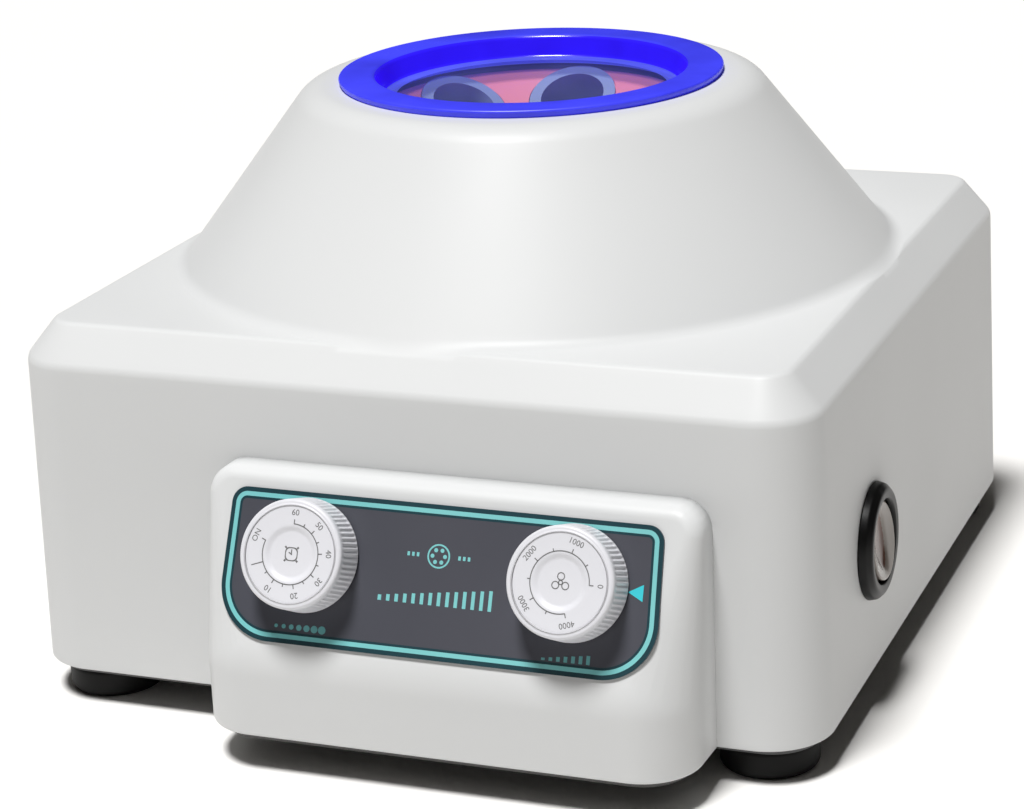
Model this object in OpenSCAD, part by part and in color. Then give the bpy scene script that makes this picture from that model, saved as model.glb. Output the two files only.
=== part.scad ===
// Small bench centrifuge with an angle rotor, a lift-out lid and a tilted front console.
// Millimetres, +Z up, standing on its feet at Z = 0, front towards -Y.

/* [Housing] */
// Width of the housing at the top of its side walls
body_w = 260; // [256:1:300]
// Depth of the housing at the top of its side walls
body_d = 254; // [252:1:300]
// Height of the side walls, from their bottom edge to the chamfer
wall_h = 101.5; // [98:0.5:120]
// How far each wall leans out by its bottom edge
draft = 1.6; // [0:0.1:3]
// Chamfer round the deck, measured inwards
chamfer_in = 9.7; // [4:0.1:10]
// Chamfer round the deck, measured upwards
chamfer_up = 11.7; // [8:0.1:16]
// Radius of the housing's upright corners
corner_r = 18.7; // [14:0.1:30]
// Wall thickness of the moulded housing
shell_t = 3; // [2:0.1:4]

/* [Cone] */
// Radius of the cone where it meets the deck
cone_base_r = 118.6; // [112:0.1:119]
// Radius of the cone at its rounded top, before rounding
cone_top_r = 74.1; // [72:0.1:84]
// Height of the cone over the deck
cone_h = 57.3; // [52:0.1:70]
// Radius of the rounding at the cone's top
shoulder_r = 12; // [4:0.5:14]
// Radius of the loading mouth in the cone's top
mouth_r = 56; // [54:0.1:58]
// How far the spin axis stands behind the middle of the housing
axis_back = 1.9; // [0:0.1:5]

/* [Console] */
// Width of the console
console_w = 157.5; // [150:0.5:180]
// Middle of the console, to the right of the middle of the housing
console_right = 22.3; // [0:0.1:30]
// How far the console's foot stands out from the front wall
console_out = 32.2; // [28:0.1:40]
// Height of the upright foot of the console
knee_h = 25; // [20:0.5:28]
// Height of the console where it meets the front wall
console_h = 77.8; // [76:0.1:86]
// Lean of the panel from upright
panel_tilt = 23; // [18:0.5:26]
// Radius of the console's upright corners
console_r = 18; // [10:0.5:20]
// Radius of the console's top edge
ledge_r = 5; // [4:0.5:8]

/* [Panel plate] */
// Width of the dark plate
plate_w = 138.8; // [130:0.2:142]
// Height of the plate along the panel
plate_h = 45.6; // [40:0.2:48]
// Distance up the panel from the console's knee to the plate
plate_up = 6.5; // [3:0.5:8]
// Thickness of the plate
plate_t = 0.8; // [0.5:0.1:1.5]
// Radius of the plate's top corners
plate_top_r = 5; // [2:0.5:8]
// Radius of the plate's bottom corners
plate_low_r = 17; // [8:0.5:20]

/* [Knobs] */
// Distance between the two knobs
knob_gap = 84.8; // [80:0.2:96]
// Height of the knobs' middles up the panel from the knee
knob_up = 33.3; // [28:0.1:34]
// Radius of a knob at its foot
knob_r = 17.2; // [14:0.1:19]
// Radius of a knob's face
knob_face_r = 16.3; // [12:0.1:17]
// Height of a knob
knob_h = 11.4; // [10:0.1:14]
// Gap under a knob
knob_lift = 0.6; // [0.4:0.1:2]
// Depth of the dish in a knob's face
knob_dish = 0.9; // [0.3:0.1:1.5]
// Radius of a control shaft
control_shaft_r = 3; // [2.5:0.1:3.5]
// Radius of a threaded control bushing
bushing_r = 5; // [4.5:0.1:6]
// How far a control nut reaches out from its bushing
nut_wall = 2.6; // [2:0.1:3.5]
// Thickness of a control nut
control_nut_t = 2.4; // [1.5:0.1:3]
// Width of the clockwork timer
timer_w = 42; // [34:1:44]
// Height of the clockwork timer
timer_h = 32; // [26:1:33]
// Depth of the clockwork timer
timer_d = 25; // [18:1:26]
// Radius of the speed control
pot_r = 15; // [10:0.5:16]
// Depth of the speed control
pot_d = 16; // [10:1:22]

/* [Power switch] */
// Distance of the switch in front of the middle of the housing
switch_fore = 60.5; // [40:0.5:80]
// Height of the switch over the housing's bottom edge
switch_up = 42.5; // [34:0.5:60]
// Radius of the switch's rim
switch_rim_r = 18.6; // [17:0.1:22]
// How far the rim stands out
switch_rim_h = 4.4; // [3:0.1:7]
// Radius of the window in the rim
switch_window_r = 13.1; // [12.5:0.1:14]
// Radius of the switch's barrel behind the wall
switch_barrel_r = 15.6; // [15.2:0.1:16]
// Depth of the barrel behind the wall
switch_barrel_d = 22; // [20:1:30]
// Radius of the rocker
rocker_r = 12.4; // [11:0.1:12.4]
// Length of the rocker along its axis
rocker_l = 8.6; // [7:0.1:10]
// Angle that the rocker tips through
rocker_throw = 12; // [8:1:14]
// Radius of the rocker's pin
rocker_pin_r = 1; // [0.8:0.1:1.4]

/* [Lid] */
// Radius of the lid's flange
lid_r = 65.1; // [62:0.1:67]
// Thickness of the lid's flange
lid_flange_t = 2.6; // [2:0.1:4]
// Radius of the recess at its mouth
lid_dish_r = 51.4; // [48:0.1:52]
// Radius of the recess at its floor
lid_floor_r = 49.4; // [44:0.1:50]
// Depth of the recess
lid_dish_d = 7.6; // [5:0.1:8]
// Wall thickness of the lid
lid_t = 2; // [1.5:0.1:2.2]
// Gap between the lid's spigot and the mouth
lid_gap = 0.6; // [0.3:0.1:1.5]

/* [Rotor] */
// Number of tube places
places = 6; // [4:1:6]
// Lean of the tubes from upright
tube_tilt = 30; // [28:1:34]
// Distance of a tube mouth's middle from the spin axis
mouth_ring_r = 38; // [37:0.1:40]
// Height of the tube mouths below the top of the cone
mouth_drop = 17; // [16.5:0.5:22]
// Inner radius of a tube sleeve
sleeve_r = 11; // [9:0.1:11]
// Wall thickness of a tube sleeve
sleeve_t = 1.2; // [0.8:0.1:1.2]
// Inner depth of a tube sleeve
sleeve_d = 84; // [60:1:86]
// How far a sleeve's collar reaches out from its tube
collar_out = 2.8; // [2:0.1:2.8]
// Thickness of a sleeve's collar
collar_t = 1.6; // [1:0.1:2]
// Clearance between a sleeve and its hole in the rotor
sleeve_gap = 0.3; // [0.1:0.05:0.4]
// Thickness of the rotor's dish
rotor_t = 7; // [5:0.5:9]
// Radius of the rotor's dish
rotor_dish_r = 51; // [50:0.1:54]
// Radius of the rotor's hub
hub_r = 14; // [12:0.5:15]
// Height of the rotor's hub
hub_h = 44; // [30:1:50]
// Radius of the rotor's hand nut
rotor_nut_r = 8.5; // [7:0.1:10]
// Height of the rotor's hand nut
rotor_nut_h = 9; // [6:0.5:11]

/* [Motor] */
// Radius of the motor's case
motor_r = 38; // [34:0.5:42]
// Height of the motor's case
motor_h = 43; // [38:0.5:46]
// Wall thickness of the motor's case
motor_t = 2.5; // [2:0.1:3]
// Radius of the motor's shaft
shaft_r = 4; // [3:0.1:5]
// Running clearance between a shaft and its bearing
run_gap = 0.04; // [0.02:0.01:0.08]
// Outer radius of a ball bearing
bearing_r = 11; // [9:0.5:12]
// Width of a ball bearing
bearing_w = 7; // [5:0.5:8]
// Radius of the armature
armature_r = 25; // [18:0.5:28]
// Side of the square motor plate
motor_plate_w = 100; // [92:1:108]
// Thickness of the motor plate
motor_plate_t = 3; // [2:0.5:4]
// Distance of the dampers from the middle, along X and along Y
damper_at = 42; // [40:1:44]
// Radius of a rubber damper
damper_r = 7; // [5:0.5:8]
// Height of a rubber damper
damper_h = 14; // [10:0.5:16]
// Radius of a carbon brush's cap
brush_r = 6; // [4:0.5:7]

/* [Chamber bowl] */
// Inner radius of the guard bowl
bowl_r = 106; // [101:0.5:108]
// Thickness of the bowl's sheet
bowl_t = 1.5; // [1:0.1:2]
// Height of the bowl's floor over the base plate
bowl_up = 52; // [44:0.5:54]
// Height of the bowl's wall
bowl_h = 50; // [30:1:54]
// Radius of the hole in the bowl's floor
bowl_hole_r = 45; // [44:0.5:50]
// Distance of the bowl's pillars from the middle, along X and along Y
pillar_at = 60; // [56:1:66]
// Radius of a pillar
pillar_r = 4; // [3:0.5:5]

/* [Base and feet] */
// Thickness of the base plate
base_t = 2.4; // [1.5:0.1:3]
// How far the base plate's edge stays inside the housing's edge
base_inset = 4; // [2:0.1:5]
// Height of a foot
foot_h = 9.6; // [8:0.1:16]
// Radius of a foot
foot_r = 15.2; // [12:0.1:18]
// Distance of a foot's middle from the housing's edge
foot_in = 20.4; // [19:0.1:30]
// Radius of a foot's screw
foot_screw_r = 2; // [1.5:0.1:2.5]
// Radius of a foot screw's head
foot_head_r = 4; // [3.5:0.1:5]
// Height of a foot screw's head
foot_head_h = 2.6; // [2:0.1:3]
// Depth of the well under a foot
foot_well = 5; // [4:0.1:6]
// Distance of the housing's screws from the side wall's edge
boss_in = 9; // [8:0.1:12]
// Distance of the housing's screws from the middle, along Y
boss_at = 66; // [50:1:80]
// Radius of a housing screw
boss_screw_r = 1.75; // [1.5:0.05:2]

/* [Control board] */
// Width of the control board
board_w = 44; // [36:1:46]
// Length of the control board
board_l = 62; // [50:1:66]
// Height of the board over the base plate
board_up = 8; // [5:0.5:12]
// Thickness of the board
board_t = 1.6; // [1:0.1:2]
// Distance of the board's edge from the left wall's edge
board_in = 14; // [12:1:16]
// Height of the heat sink
sink_h = 24; // [14:1:26]
// Number of fins on the heat sink
fins = 5; // [3:1:6]

/* [Mains inlet and fuse] */
// Distance of the inlet to the left of the middle, seen from the front
inlet_left = 62; // [54:1:80]
// Height of the inlet and the fuse over the housing's bottom edge
rear_up = 30; // [26:1:50]
// Width of the inlet's flange
inlet_w = 50; // [48:0.5:54]
// Height of the inlet's flange
inlet_h = 25; // [24:0.5:30]
// Thickness of the inlet's flange
inlet_t = 2.4; // [2:0.1:4]
// Width of the inlet's socket
socket_w = 24; // [22:0.5:25]
// Height of the inlet's socket
socket_h = 16.4; // [15:0.2:17]
// Depth of the inlet's socket
socket_d = 16; // [14:0.5:18]
// Distance between the inlet's screws
inlet_screws_gap = 40; // [38:0.5:42]
// Distance of the fuse to the left of the middle, seen from the front
fuse_left = 12; // [0:1:20]
// Radius of the fuse holder's flange
fuse_flange_r = 8; // [7.5:0.1:10]
// Radius of the fuse holder's barrel
fuse_barrel_r = 6.2; // [6:0.1:6.8]
// Depth of the fuse holder's barrel
fuse_barrel_d = 34; // [30:1:40]
// Radius of the fuse's cap
fuse_cap_r = 6.6; // [6:0.1:7.4]
// How far the fuse's cap stands out
fuse_cap_h = 8; // [5:0.5:12]
// Radius of a fuse
fuse_r = 2.6; // [2.5:0.1:3]
// Length of a fuse
fuse_l = 20; // [18:1:22]

/* [Hidden] */
$fn = 96;
// Facets round a hull's corners
hull_fn = 32;
// Overlap that lets cuts run clear of a face
over = 1;
// Height of the thin slabs that a hull joins
slab = 0.01;

// Clearances round what passes through a wall or a plate
control_gap = 0.3;
hole_gap = 0.2;
well_gap = 0.8;
knob_well_gap = 0.8;
run_end = 0.3;
fuse_gap = 0.6;
armature_gap = 3;
lip_gap = 2.5;

// Screw pillars moulded inside the side walls
boss_r = 4.6;
boss_h = 26;
boss_web = 3;
pilot_d = 14;
boss_head_r = 3.2;
boss_head_h = 2.2;

// Cooling slots in the base plate
vent_w = 4;
vent_l = 36;
vent_pitch = 9;
vents = 5;

// Feet and their nuts
foot_edge = 2;
foot_nut_r = 3.6;
foot_nut_t = 3;

// How much narrower the dark plate is at its top, on each side
plate_taper = 0.7;

// Controls: how far a bushing stands out of its nut, and how deep its shaft sits
bushing_out = 1;
shaft_in = 8;
shaft_end = 2.4;
knob_edge = 1.2;
knob_rim = 2;

// What stands on the control board
board_hole_in = 4;
board_screw_r = 1.5;
standoff_r = 3;
capacitor_at = 6;
capacitor_r = 6;
capacitor_h = 16;
terminal_w = 24;
terminal_d = 8;
terminal_h = 10;
sink_w = 12;
sink_l = 26;
fin_t = 1.2;

// Bowl and pillars
bowl_rim = 2;
pillar_screw_r = 2;
pillar_head_h = 2.4;

// Motor plate, dampers, bolts and brush tubes
motor_plate_corner = 8;
damper_stud = 2.4;
damper_lip = 2;
motor_bolt_r = 1.5;
motor_bolt_at = 24;
motor_bolt_head = 2;
seat_lip = 1.5;
brush_wall = 1.5;
brush_out = 7;
brush_in = 3;
brush_cap_h = 2;

// Rotor, its nut and the lid
dish_edge = 2;
nut_edge = 1.2;
cap_t = 1.6;
spigot_d = 8;
lid_edge = 1;

// Power switch
rim_round = 1.6;
switch_back_t = 2;
rocker_in = 0.6;
rocker_dish_r = 34;
rocker_dish = 1.4;

// Mains inlet and fuse
socket_wall = 1.6;
inlet_screw_r = 1.5;
inlet_screw_l = 6;
pin_t = 2;
pin_w = 4;
pin_l = 12;
pin_gap = 7;
pin_rise = 2;
pin_tail = 7;
fuse_wall = 1;
fuse_slot = 1.6;
fuse_grip = 7;
fuse_flange_t = 2.4;

// Floor and roof of the motor's case, each with a bearing let in
motor_floor = bearing_w + seat_lip;

// Heights over the table
z_edge = foot_h + base_t;
z_wall = z_edge + wall_h;
z_deck = z_wall + chamfer_up;
z_top = z_deck + cone_h;
z_lid = z_top + lid_flange_t;
z_mouths = z_top - mouth_drop;
z_damper = z_edge + damper_h;
z_motor = z_damper + motor_plate_t;
z_motor_top = z_motor + motor_h;
z_bowl = z_edge + bowl_up;

// How far the walls lean out for each millimetre down, and the lean as an angle
wall_lean = draft / wall_h;
wall_deg = atan(wall_lean);
function wall_out(z) = wall_lean * (z_wall - z);

// Half the housing's size at its bottom edge
half_w = body_w / 2 + draft;
half_d = body_d / 2 + draft;

// The console's planes
z_knee = z_edge + knee_h;
y_front = -(body_d / 2 + console_out);
z_console = z_edge + console_h;
function panel_y(z) = y_front + (z - z_knee) * tan(panel_tilt);

// The places of the switch, the inlet and the fuse
z_switch = z_edge + switch_up;
x_switch = body_w / 2 + wall_out(z_switch);
z_rear = z_edge + rear_up;
y_rear = body_d / 2 + wall_out(z_rear);

// The whole outline reaches from the knobs to the fuse's cap and from the left wall to the
// switch, and the origin is under its middle
y_knobs = y_front + (knob_up - knob_face_r) * sin(panel_tilt) - (plate_t + knob_lift + knob_h) * cos(panel_tilt);
shift_x = -(x_switch + switch_rim_h - half_w) / 2;
shift_y = -(y_knobs + y_rear + fuse_flange_t + fuse_cap_h) / 2;

// The rotor's dish rises outwards square to the tubes
function dish_z(r) = z_mouths + (r - mouth_ring_r) * tan(tube_tilt);
z_hub = dish_z(hub_r);

module place() translate([shift_x, shift_y, 0]) children();
module on_axis() place() translate([0, axis_back, 0]) children();

// Local Z points out of the panel, local Y up it
module on_panel(x, up) place() translate([console_right + x, y_front, z_knee])
    rotate([90 - panel_tilt, 0, 0]) translate([0, up, 0]) children();
module on_timer() on_panel(-knob_gap / 2, knob_up) children();
module on_speed() on_panel(knob_gap / 2, knob_up) children();

// Local Z points out of the wall
module on_right_wall() place() translate([x_switch, -switch_fore, z_switch])
    rotate([0, 90 - wall_deg, 0]) children();
module on_rear_wall(left) place() translate([-left, y_rear, z_rear])
    rotate([wall_deg - 90, 0, 0]) children();

// Local Z points out of a tube place's mouth
module at_mouth(n) on_axis() rotate([0, 0, 90 + n * 360 / places]) translate([mouth_ring_r, 0, z_mouths])
    rotate([0, -tube_tilt, 0]) children();

module corners(half_x, half_y, r, z, h) for (sx = [-1, 1], sy = [-1, 1])
    translate([sx * (half_x - r), sy * (half_y - r), z]) cylinder(r = r, h = h);

module rounded_plate(half_x, half_y, r, z, h) union() {
    corners(half_x, half_y, r, z, h);
    translate([-half_x + r, -half_y, z]) cube([2 * (half_x - r), 2 * half_y, h]);
    translate([-half_x, -half_y + r, z]) cube([2 * half_x, 2 * (half_y - r), h]);
}

// Walls, chamfer and deck of the housing, drawn in by t, and let down below the edge by drop
module body_form(t, drop) hull() {
    corners(half_w - t, half_d - t, corner_r - t, z_edge - drop, slab, $fn = hull_fn);
    corners(body_w / 2 - t, body_d / 2 - t, corner_r - t, z_wall - t / 3, slab, $fn = hull_fn);
    corners(body_w / 2 - chamfer_in - t / 2, body_d / 2 - chamfer_in - t / 2,
        corner_r - chamfer_in - t / 2, z_deck - t - slab, slab, $fn = hull_fn);
}

// The console, drawn in by t, and let into the housing by deep
module console_form(t, drop, deep) {
    half = console_w / 2 - t;
    r = console_r - t;
    edge_r = ledge_r - t / 2;
    z_ledge = z_console - t - edge_r;
    y_ledge = panel_y(z_ledge) + (t + edge_r) / cos(panel_tilt);
    y_wall = -body_d / 2 + deep;
    translate([console_right, 0, 0]) hull() for (s = [-1, 1]) {
        translate([s * (half - r), y_front + t + r, z_edge - drop])
            cylinder(r = r, h = knee_h + drop, $fn = hull_fn);
        translate([s * (half - edge_r), y_ledge, z_ledge]) sphere(r = edge_r, $fn = hull_fn);
        translate([s * (half - edge_r), y_wall, z_ledge]) rotate([90, 0, 0])
            cylinder(r = edge_r, h = slab, $fn = hull_fn);
        translate([s * (half - slab), y_wall, z_edge - drop]) cube(2 * slab, center = true);
    }
}

// The cone with its rounded shoulder, as an outline of radius and height
function cone_outline(t) = let (
    lean = atan((cone_base_r - cone_top_r) / cone_h),
    side = t / cos(lean),
    turn = 90 - lean,
    r = shoulder_r - t,
    top = z_top - t,
    top_r = cone_top_r - side + t * tan(lean),
    back = r * tan(turn / 2)
) concat([[0, z_deck - shell_t - slab], [0, top]],
    [for (n = [0:8]) let (a = 90 - n * turn / 8)
        [top_r - back + r * cos(a), top - r + r * sin(a)]],
    [[cone_base_r - side, z_deck], [cone_base_r - side, z_deck - shell_t - slab]]);

module housing() color("#e9edee") union() {
    difference() {
        place() union() {
            body_form(0, 0);
            console_form(0, 0, shell_t);
            translate([0, axis_back, 0]) rotate_extrude() polygon(cone_outline(0));
        }
        place() body_form(shell_t, over);
        place() console_form(shell_t, over, shell_t + over);
        on_axis() rotate_extrude() polygon(cone_outline(shell_t));
        on_axis() translate([0, 0, z_top - shell_t - over]) cylinder(r = mouth_r, h = shell_t + 2 * over);
        on_timer() translate([0, 0, -2 * shell_t]) cylinder(r = bushing_r + control_gap, h = 3 * shell_t);
        on_speed() translate([0, 0, -2 * shell_t]) cylinder(r = bushing_r + control_gap, h = 3 * shell_t);
        on_right_wall() translate([0, 0, -2 * shell_t]) cylinder(r = switch_barrel_r + control_gap, h = 3 * shell_t);
        on_rear_wall(inlet_left) translate([0, 0, -shell_t / 2])
            cube([socket_w + 2 * socket_wall + 2 * control_gap, socket_h + 2 * socket_wall + 2 * control_gap,
                3 * shell_t], center = true);
        on_rear_wall(inlet_left) for (s = [-1, 1]) translate([s * inlet_screws_gap / 2, 0, -2 * shell_t])
            cylinder(r = inlet_screw_r, h = 3 * shell_t);
        on_rear_wall(fuse_left) translate([0, 0, -2 * shell_t])
            cylinder(r = fuse_barrel_r + control_gap, h = 3 * shell_t);
    }
    bosses();
}

module boss_places() for (sx = [-1, 1], sy = [-1, 1])
    translate([sx * (half_w - boss_in), sy * boss_at, 0]) children();
module bosses() place() for (sx = [-1, 1], sy = [-1, 1])
    translate([sx * (half_w - boss_in), sy * boss_at, 0]) difference() {
        union() {
            translate([0, 0, z_edge]) cylinder(r = boss_r, h = boss_h);
            translate([sx > 0 ? 0 : shell_t / 2 - boss_in, -boss_web / 2, z_edge])
                cube([boss_in - shell_t / 2, boss_web, boss_h]);
        }
        translate([0, 0, z_edge - over]) cylinder(r = boss_screw_r, h = pilot_d + over);
    }

// The base plate closes the housing from below
module foot_place(sx, sy) translate([sx * (half_w - foot_in), sy * (half_d - foot_in), 0]) children();
tongue_front = y_front + base_inset;
tongue_back = corner_r + base_inset - half_d;
module base_plate() color("#4b4d50") place() difference() {
    union() {
        rounded_plate(half_w - base_inset, half_d - base_inset, corner_r - base_inset, foot_h, base_t);
        translate([console_right, (tongue_front + tongue_back) / 2, 0])
            rounded_plate(console_w / 2 - base_inset, (tongue_back - tongue_front) / 2,
                console_r - base_inset, foot_h, base_t);
    }
    for (sx = [-1, 1], sy = [-1, 1]) foot_place(sx, sy)
        translate([0, 0, foot_h - over]) cylinder(r = foot_screw_r + hole_gap, h = base_t + 2 * over);
    boss_places() translate([0, 0, foot_h - over])
        cylinder(r = boss_screw_r + hole_gap, h = base_t + 2 * over);
    for (n = [0:vents - 1]) translate([(n - (vents - 1) / 2) * vent_pitch - vent_w / 2,
        axis_back - vent_l / 2, foot_h - over]) cube([vent_w, vent_l, base_t + 2 * over]);
}

// A rubber foot with a well for its screw, rounded at both edges
module foot(sx, sy) color("#1b1b1c") place() foot_place(sx, sy) difference() {
    rotate_extrude() polygon(concat(
        [[0, 0]],
        [for (a = [-90:15:0]) [foot_r - foot_edge + foot_edge * cos(a), foot_edge + foot_edge * sin(a)]],
        [for (a = [0:15:90]) [foot_r - foot_edge + foot_edge * cos(a),
            foot_h - foot_edge + foot_edge * sin(a)]],
        [[0, foot_h]]));
    translate([0, 0, -over]) cylinder(r = foot_head_r + well_gap, h = foot_well + over);
    translate([0, 0, -over]) cylinder(r = foot_screw_r, h = foot_h + 2 * over);
}

module foot_screws() color("#b9bcc0") place() for (sx = [-1, 1], sy = [-1, 1]) foot_place(sx, sy) union() {
    translate([0, 0, foot_well - foot_head_h]) cylinder(r = foot_head_r, h = foot_head_h);
    translate([0, 0, foot_well - slab]) cylinder(r = foot_screw_r,
        h = foot_h + base_t + foot_nut_t + over - foot_well + slab);
}
module foot_nuts() color("#b9bcc0") place() for (sx = [-1, 1], sy = [-1, 1]) foot_place(sx, sy)
    difference() {
        translate([0, 0, z_edge]) cylinder(r = foot_nut_r / cos(30), h = foot_nut_t, $fn = 6);
        translate([0, 0, z_edge - over]) cylinder(r = foot_screw_r, h = foot_nut_t + 2 * over);
    }
module housing_screws() color("#b9bcc0") place() boss_places() union() {
    translate([0, 0, foot_h - boss_head_h]) cylinder(r = boss_head_r, h = boss_head_h);
    translate([0, 0, foot_h - slab]) cylinder(r = boss_screw_r, h = base_t + pilot_d - over + slab);
}

// The dark plate that carries the dials
module plate_outline() hull() for (s = [-1, 1]) {
    translate([s * (plate_w / 2 - plate_top_r - plate_taper), plate_h - plate_top_r])
        circle(r = plate_top_r, $fn = hull_fn);
    translate([s * (plate_w / 2 - plate_low_r), plate_low_r]) circle(r = plate_low_r, $fn = 64);
}
module panel_plate() color("#45474f") difference() {
    on_panel(0, plate_up) linear_extrude(plate_t) plate_outline();
    on_timer() translate([0, 0, -over]) cylinder(r = bushing_r + control_gap, h = plate_t + 2 * over);
    on_speed() translate([0, 0, -over]) cylinder(r = bushing_r + control_gap, h = plate_t + 2 * over);
}

// Controls behind the panel: each has a threaded bushing that comes through it
module bushing_and_bore() union() {
    translate([0, 0, -shell_t - slab])
        cylinder(r = bushing_r, h = shell_t + plate_t + control_nut_t + bushing_out + slab);
    children();
}
module shaft_bore() translate([0, 0, -shell_t - shaft_in])
    cylinder(r = control_shaft_r + run_gap, h = shell_t + shaft_in + plate_t + control_nut_t + bushing_out + over);
module timer_clockwork() color("#d8c89a") on_timer() difference() {
    bushing_and_bore() translate([-timer_w / 2, -timer_h / 2, -shell_t - timer_d])
        cube([timer_w, timer_h, timer_d]);
    shaft_bore();
}
module speed_control() color("#7c5a36") on_speed() difference() {
    bushing_and_bore() translate([0, 0, -shell_t - pot_d]) cylinder(r = pot_r, h = pot_d);
    shaft_bore();
}
module control_nut() difference() {
    translate([0, 0, plate_t]) cylinder(r = (bushing_r + nut_wall) / cos(30), h = control_nut_t, $fn = 6);
    translate([0, 0, plate_t - over]) cylinder(r = bushing_r, h = control_nut_t + 2 * over);
}
module timer_nut() color("silver") on_timer() control_nut();
module speed_nut() color("silver") on_speed() control_nut();
module control_shaft() translate([0, 0, -shell_t - shaft_in + run_end])
    cylinder(r = control_shaft_r,
        h = shell_t + shaft_in - run_end + plate_t + knob_lift + knob_h - knob_dish - shaft_end);
module timer_shaft() color("#c9cccf") on_timer() control_shaft();
module speed_shaft() color("#c9cccf") on_speed() control_shaft();

// A knob: hollow below to clear its nut, dished on its face
module knob() translate([0, 0, plate_t + knob_lift]) difference() {
    rotate_extrude() polygon(concat(
        [[0, 0], [knob_r, 0], [knob_r, knob_h / 3]],
        [for (a = [0:15:90]) [knob_face_r - knob_edge + knob_edge * cos(a),
            knob_h - knob_edge + knob_edge * sin(a)]],
        [[knob_face_r - knob_rim, knob_h], [knob_face_r - knob_rim - knob_dish, knob_h - knob_dish],
            [0, knob_h - knob_dish]]));
    translate([0, 0, -over]) cylinder(r = (bushing_r + nut_wall) / cos(30) + knob_well_gap,
        h = control_nut_t + bushing_out - knob_lift + knob_well_gap + over);
    translate([0, 0, -over]) cylinder(r = control_shaft_r, h = knob_h - knob_dish - shaft_end + over);
}
module timer_knob() color("#e8e9ec") on_timer() knob();
module speed_knob() color("#e8e9ec") on_speed() knob();

// Speed electronics on the base plate, beside the motor
board_x = -half_w + board_in;
module board_holes() place() for (x = [board_hole_in, board_w - board_hole_in],
    y = [board_hole_in, board_l - board_hole_in])
    translate([board_x + x, y - board_l / 2, 0]) children();
module control_board() color("#1f6b43") union() {
    difference() {
        place() translate([board_x, -board_l / 2, z_edge + board_up]) cube([board_w, board_l, board_t]);
        board_holes() translate([0, 0, z_edge]) cylinder(r = board_screw_r + hole_gap, h = board_up + board_t + over);
    }
    place() translate([board_x + board_w / 2 + capacitor_at, -board_l / 3, z_edge + board_up + board_t - slab])
        cylinder(r = capacitor_r, h = capacitor_h);
    place() translate([board_x + board_w / 4, board_l / 4, z_edge + board_up + board_t - slab])
        cube([terminal_w, terminal_d, terminal_h]);
}
module heat_sink() color("#9fa2a6") place()
    translate([board_x + board_hole_in, -sink_l / 2, z_edge + board_up + board_t]) union() {
        cube([fin_t * 2, sink_l, sink_h]);
        for (n = [0:fins - 1]) translate([fin_t, n * (sink_l - fin_t) / (fins - 1), 0])
            cube([sink_w, fin_t, sink_h]);
    }
module board_standoffs() color("#c9cccf") board_holes() union() {
    translate([0, 0, z_edge]) cylinder(r = standoff_r, h = board_up);
    translate([0, 0, z_edge + board_up - slab]) cylinder(r = board_screw_r, h = board_t + slab);
    translate([0, 0, z_edge + board_up + board_t]) cylinder(r = standoff_r - hole_gap, h = board_t);
}

// The guard bowl round the rotor, on four pillars
module pillar_places() for (sx = [-1, 1], sy = [-1, 1])
    translate([sx * pillar_at, sy * pillar_at, 0]) children();
module chamber_bowl() color("#c4c7ca") on_axis() difference() {
    union() {
        translate([0, 0, z_bowl]) cylinder(r = bowl_r + bowl_t, h = bowl_h);
        translate([0, 0, z_bowl + bowl_h - bowl_t]) cylinder(r = bowl_r + bowl_t + bowl_rim, h = bowl_t);
    }
    translate([0, 0, z_bowl + bowl_t]) cylinder(r = bowl_r, h = bowl_h);
    translate([0, 0, z_bowl - over]) cylinder(r = bowl_hole_r, h = bowl_t + 2 * over);
    pillar_places() translate([0, 0, z_bowl - over]) cylinder(r = pillar_screw_r + hole_gap, h = bowl_t + 2 * over);
}
module bowl_pillars() color("#b9bcc0") on_axis() pillar_places() union() {
    translate([0, 0, z_edge]) cylinder(r = pillar_r, h = bowl_up);
    translate([0, 0, z_bowl - slab]) cylinder(r = pillar_screw_r, h = bowl_t + slab);
    translate([0, 0, z_bowl + bowl_t]) cylinder(r = pillar_r, h = pillar_head_h);
}

// The motor stands on a plate that rests on four rubber dampers
module damper_places() for (sx = [-1, 1], sy = [-1, 1])
    translate([sx * damper_at, sy * damper_at, 0]) children();
module motor_plate() color("#8d9094") on_axis() difference() {
    rounded_plate(motor_plate_w / 2, motor_plate_w / 2, motor_plate_corner, z_damper, motor_plate_t);
    damper_places() translate([0, 0, z_damper - over])
        cylinder(r = foot_screw_r + hole_gap, h = motor_plate_t + 2 * over);
    motor_bolt_places() translate([0, 0, z_damper - over])
        cylinder(r = motor_bolt_r + hole_gap, h = motor_plate_t + 2 * over);
}
module motor_dampers() color("#242424") on_axis() damper_places() union() {
    translate([0, 0, z_edge]) cylinder(r = damper_r, h = damper_h);
    translate([0, 0, z_damper - slab]) cylinder(r = foot_screw_r, h = motor_plate_t + damper_stud + slab);
    translate([0, 0, z_motor]) cylinder(r = damper_r - damper_lip, h = damper_stud);
}
motor_bolt_h = 5;
module motor_bolt_places() for (n = [0:2]) rotate([0, 0, n * 120]) translate([motor_bolt_at, 0, 0]) children();
module motor_bolts() color("#b9bcc0") on_axis() motor_bolt_places() union() {
    translate([0, 0, z_damper - motor_bolt_head]) cylinder(r = motor_bolt_r * 2, h = motor_bolt_head);
    translate([0, 0, z_damper - slab]) cylinder(r = motor_bolt_r, h = motor_plate_t + motor_floor - over + slab);
}

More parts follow.
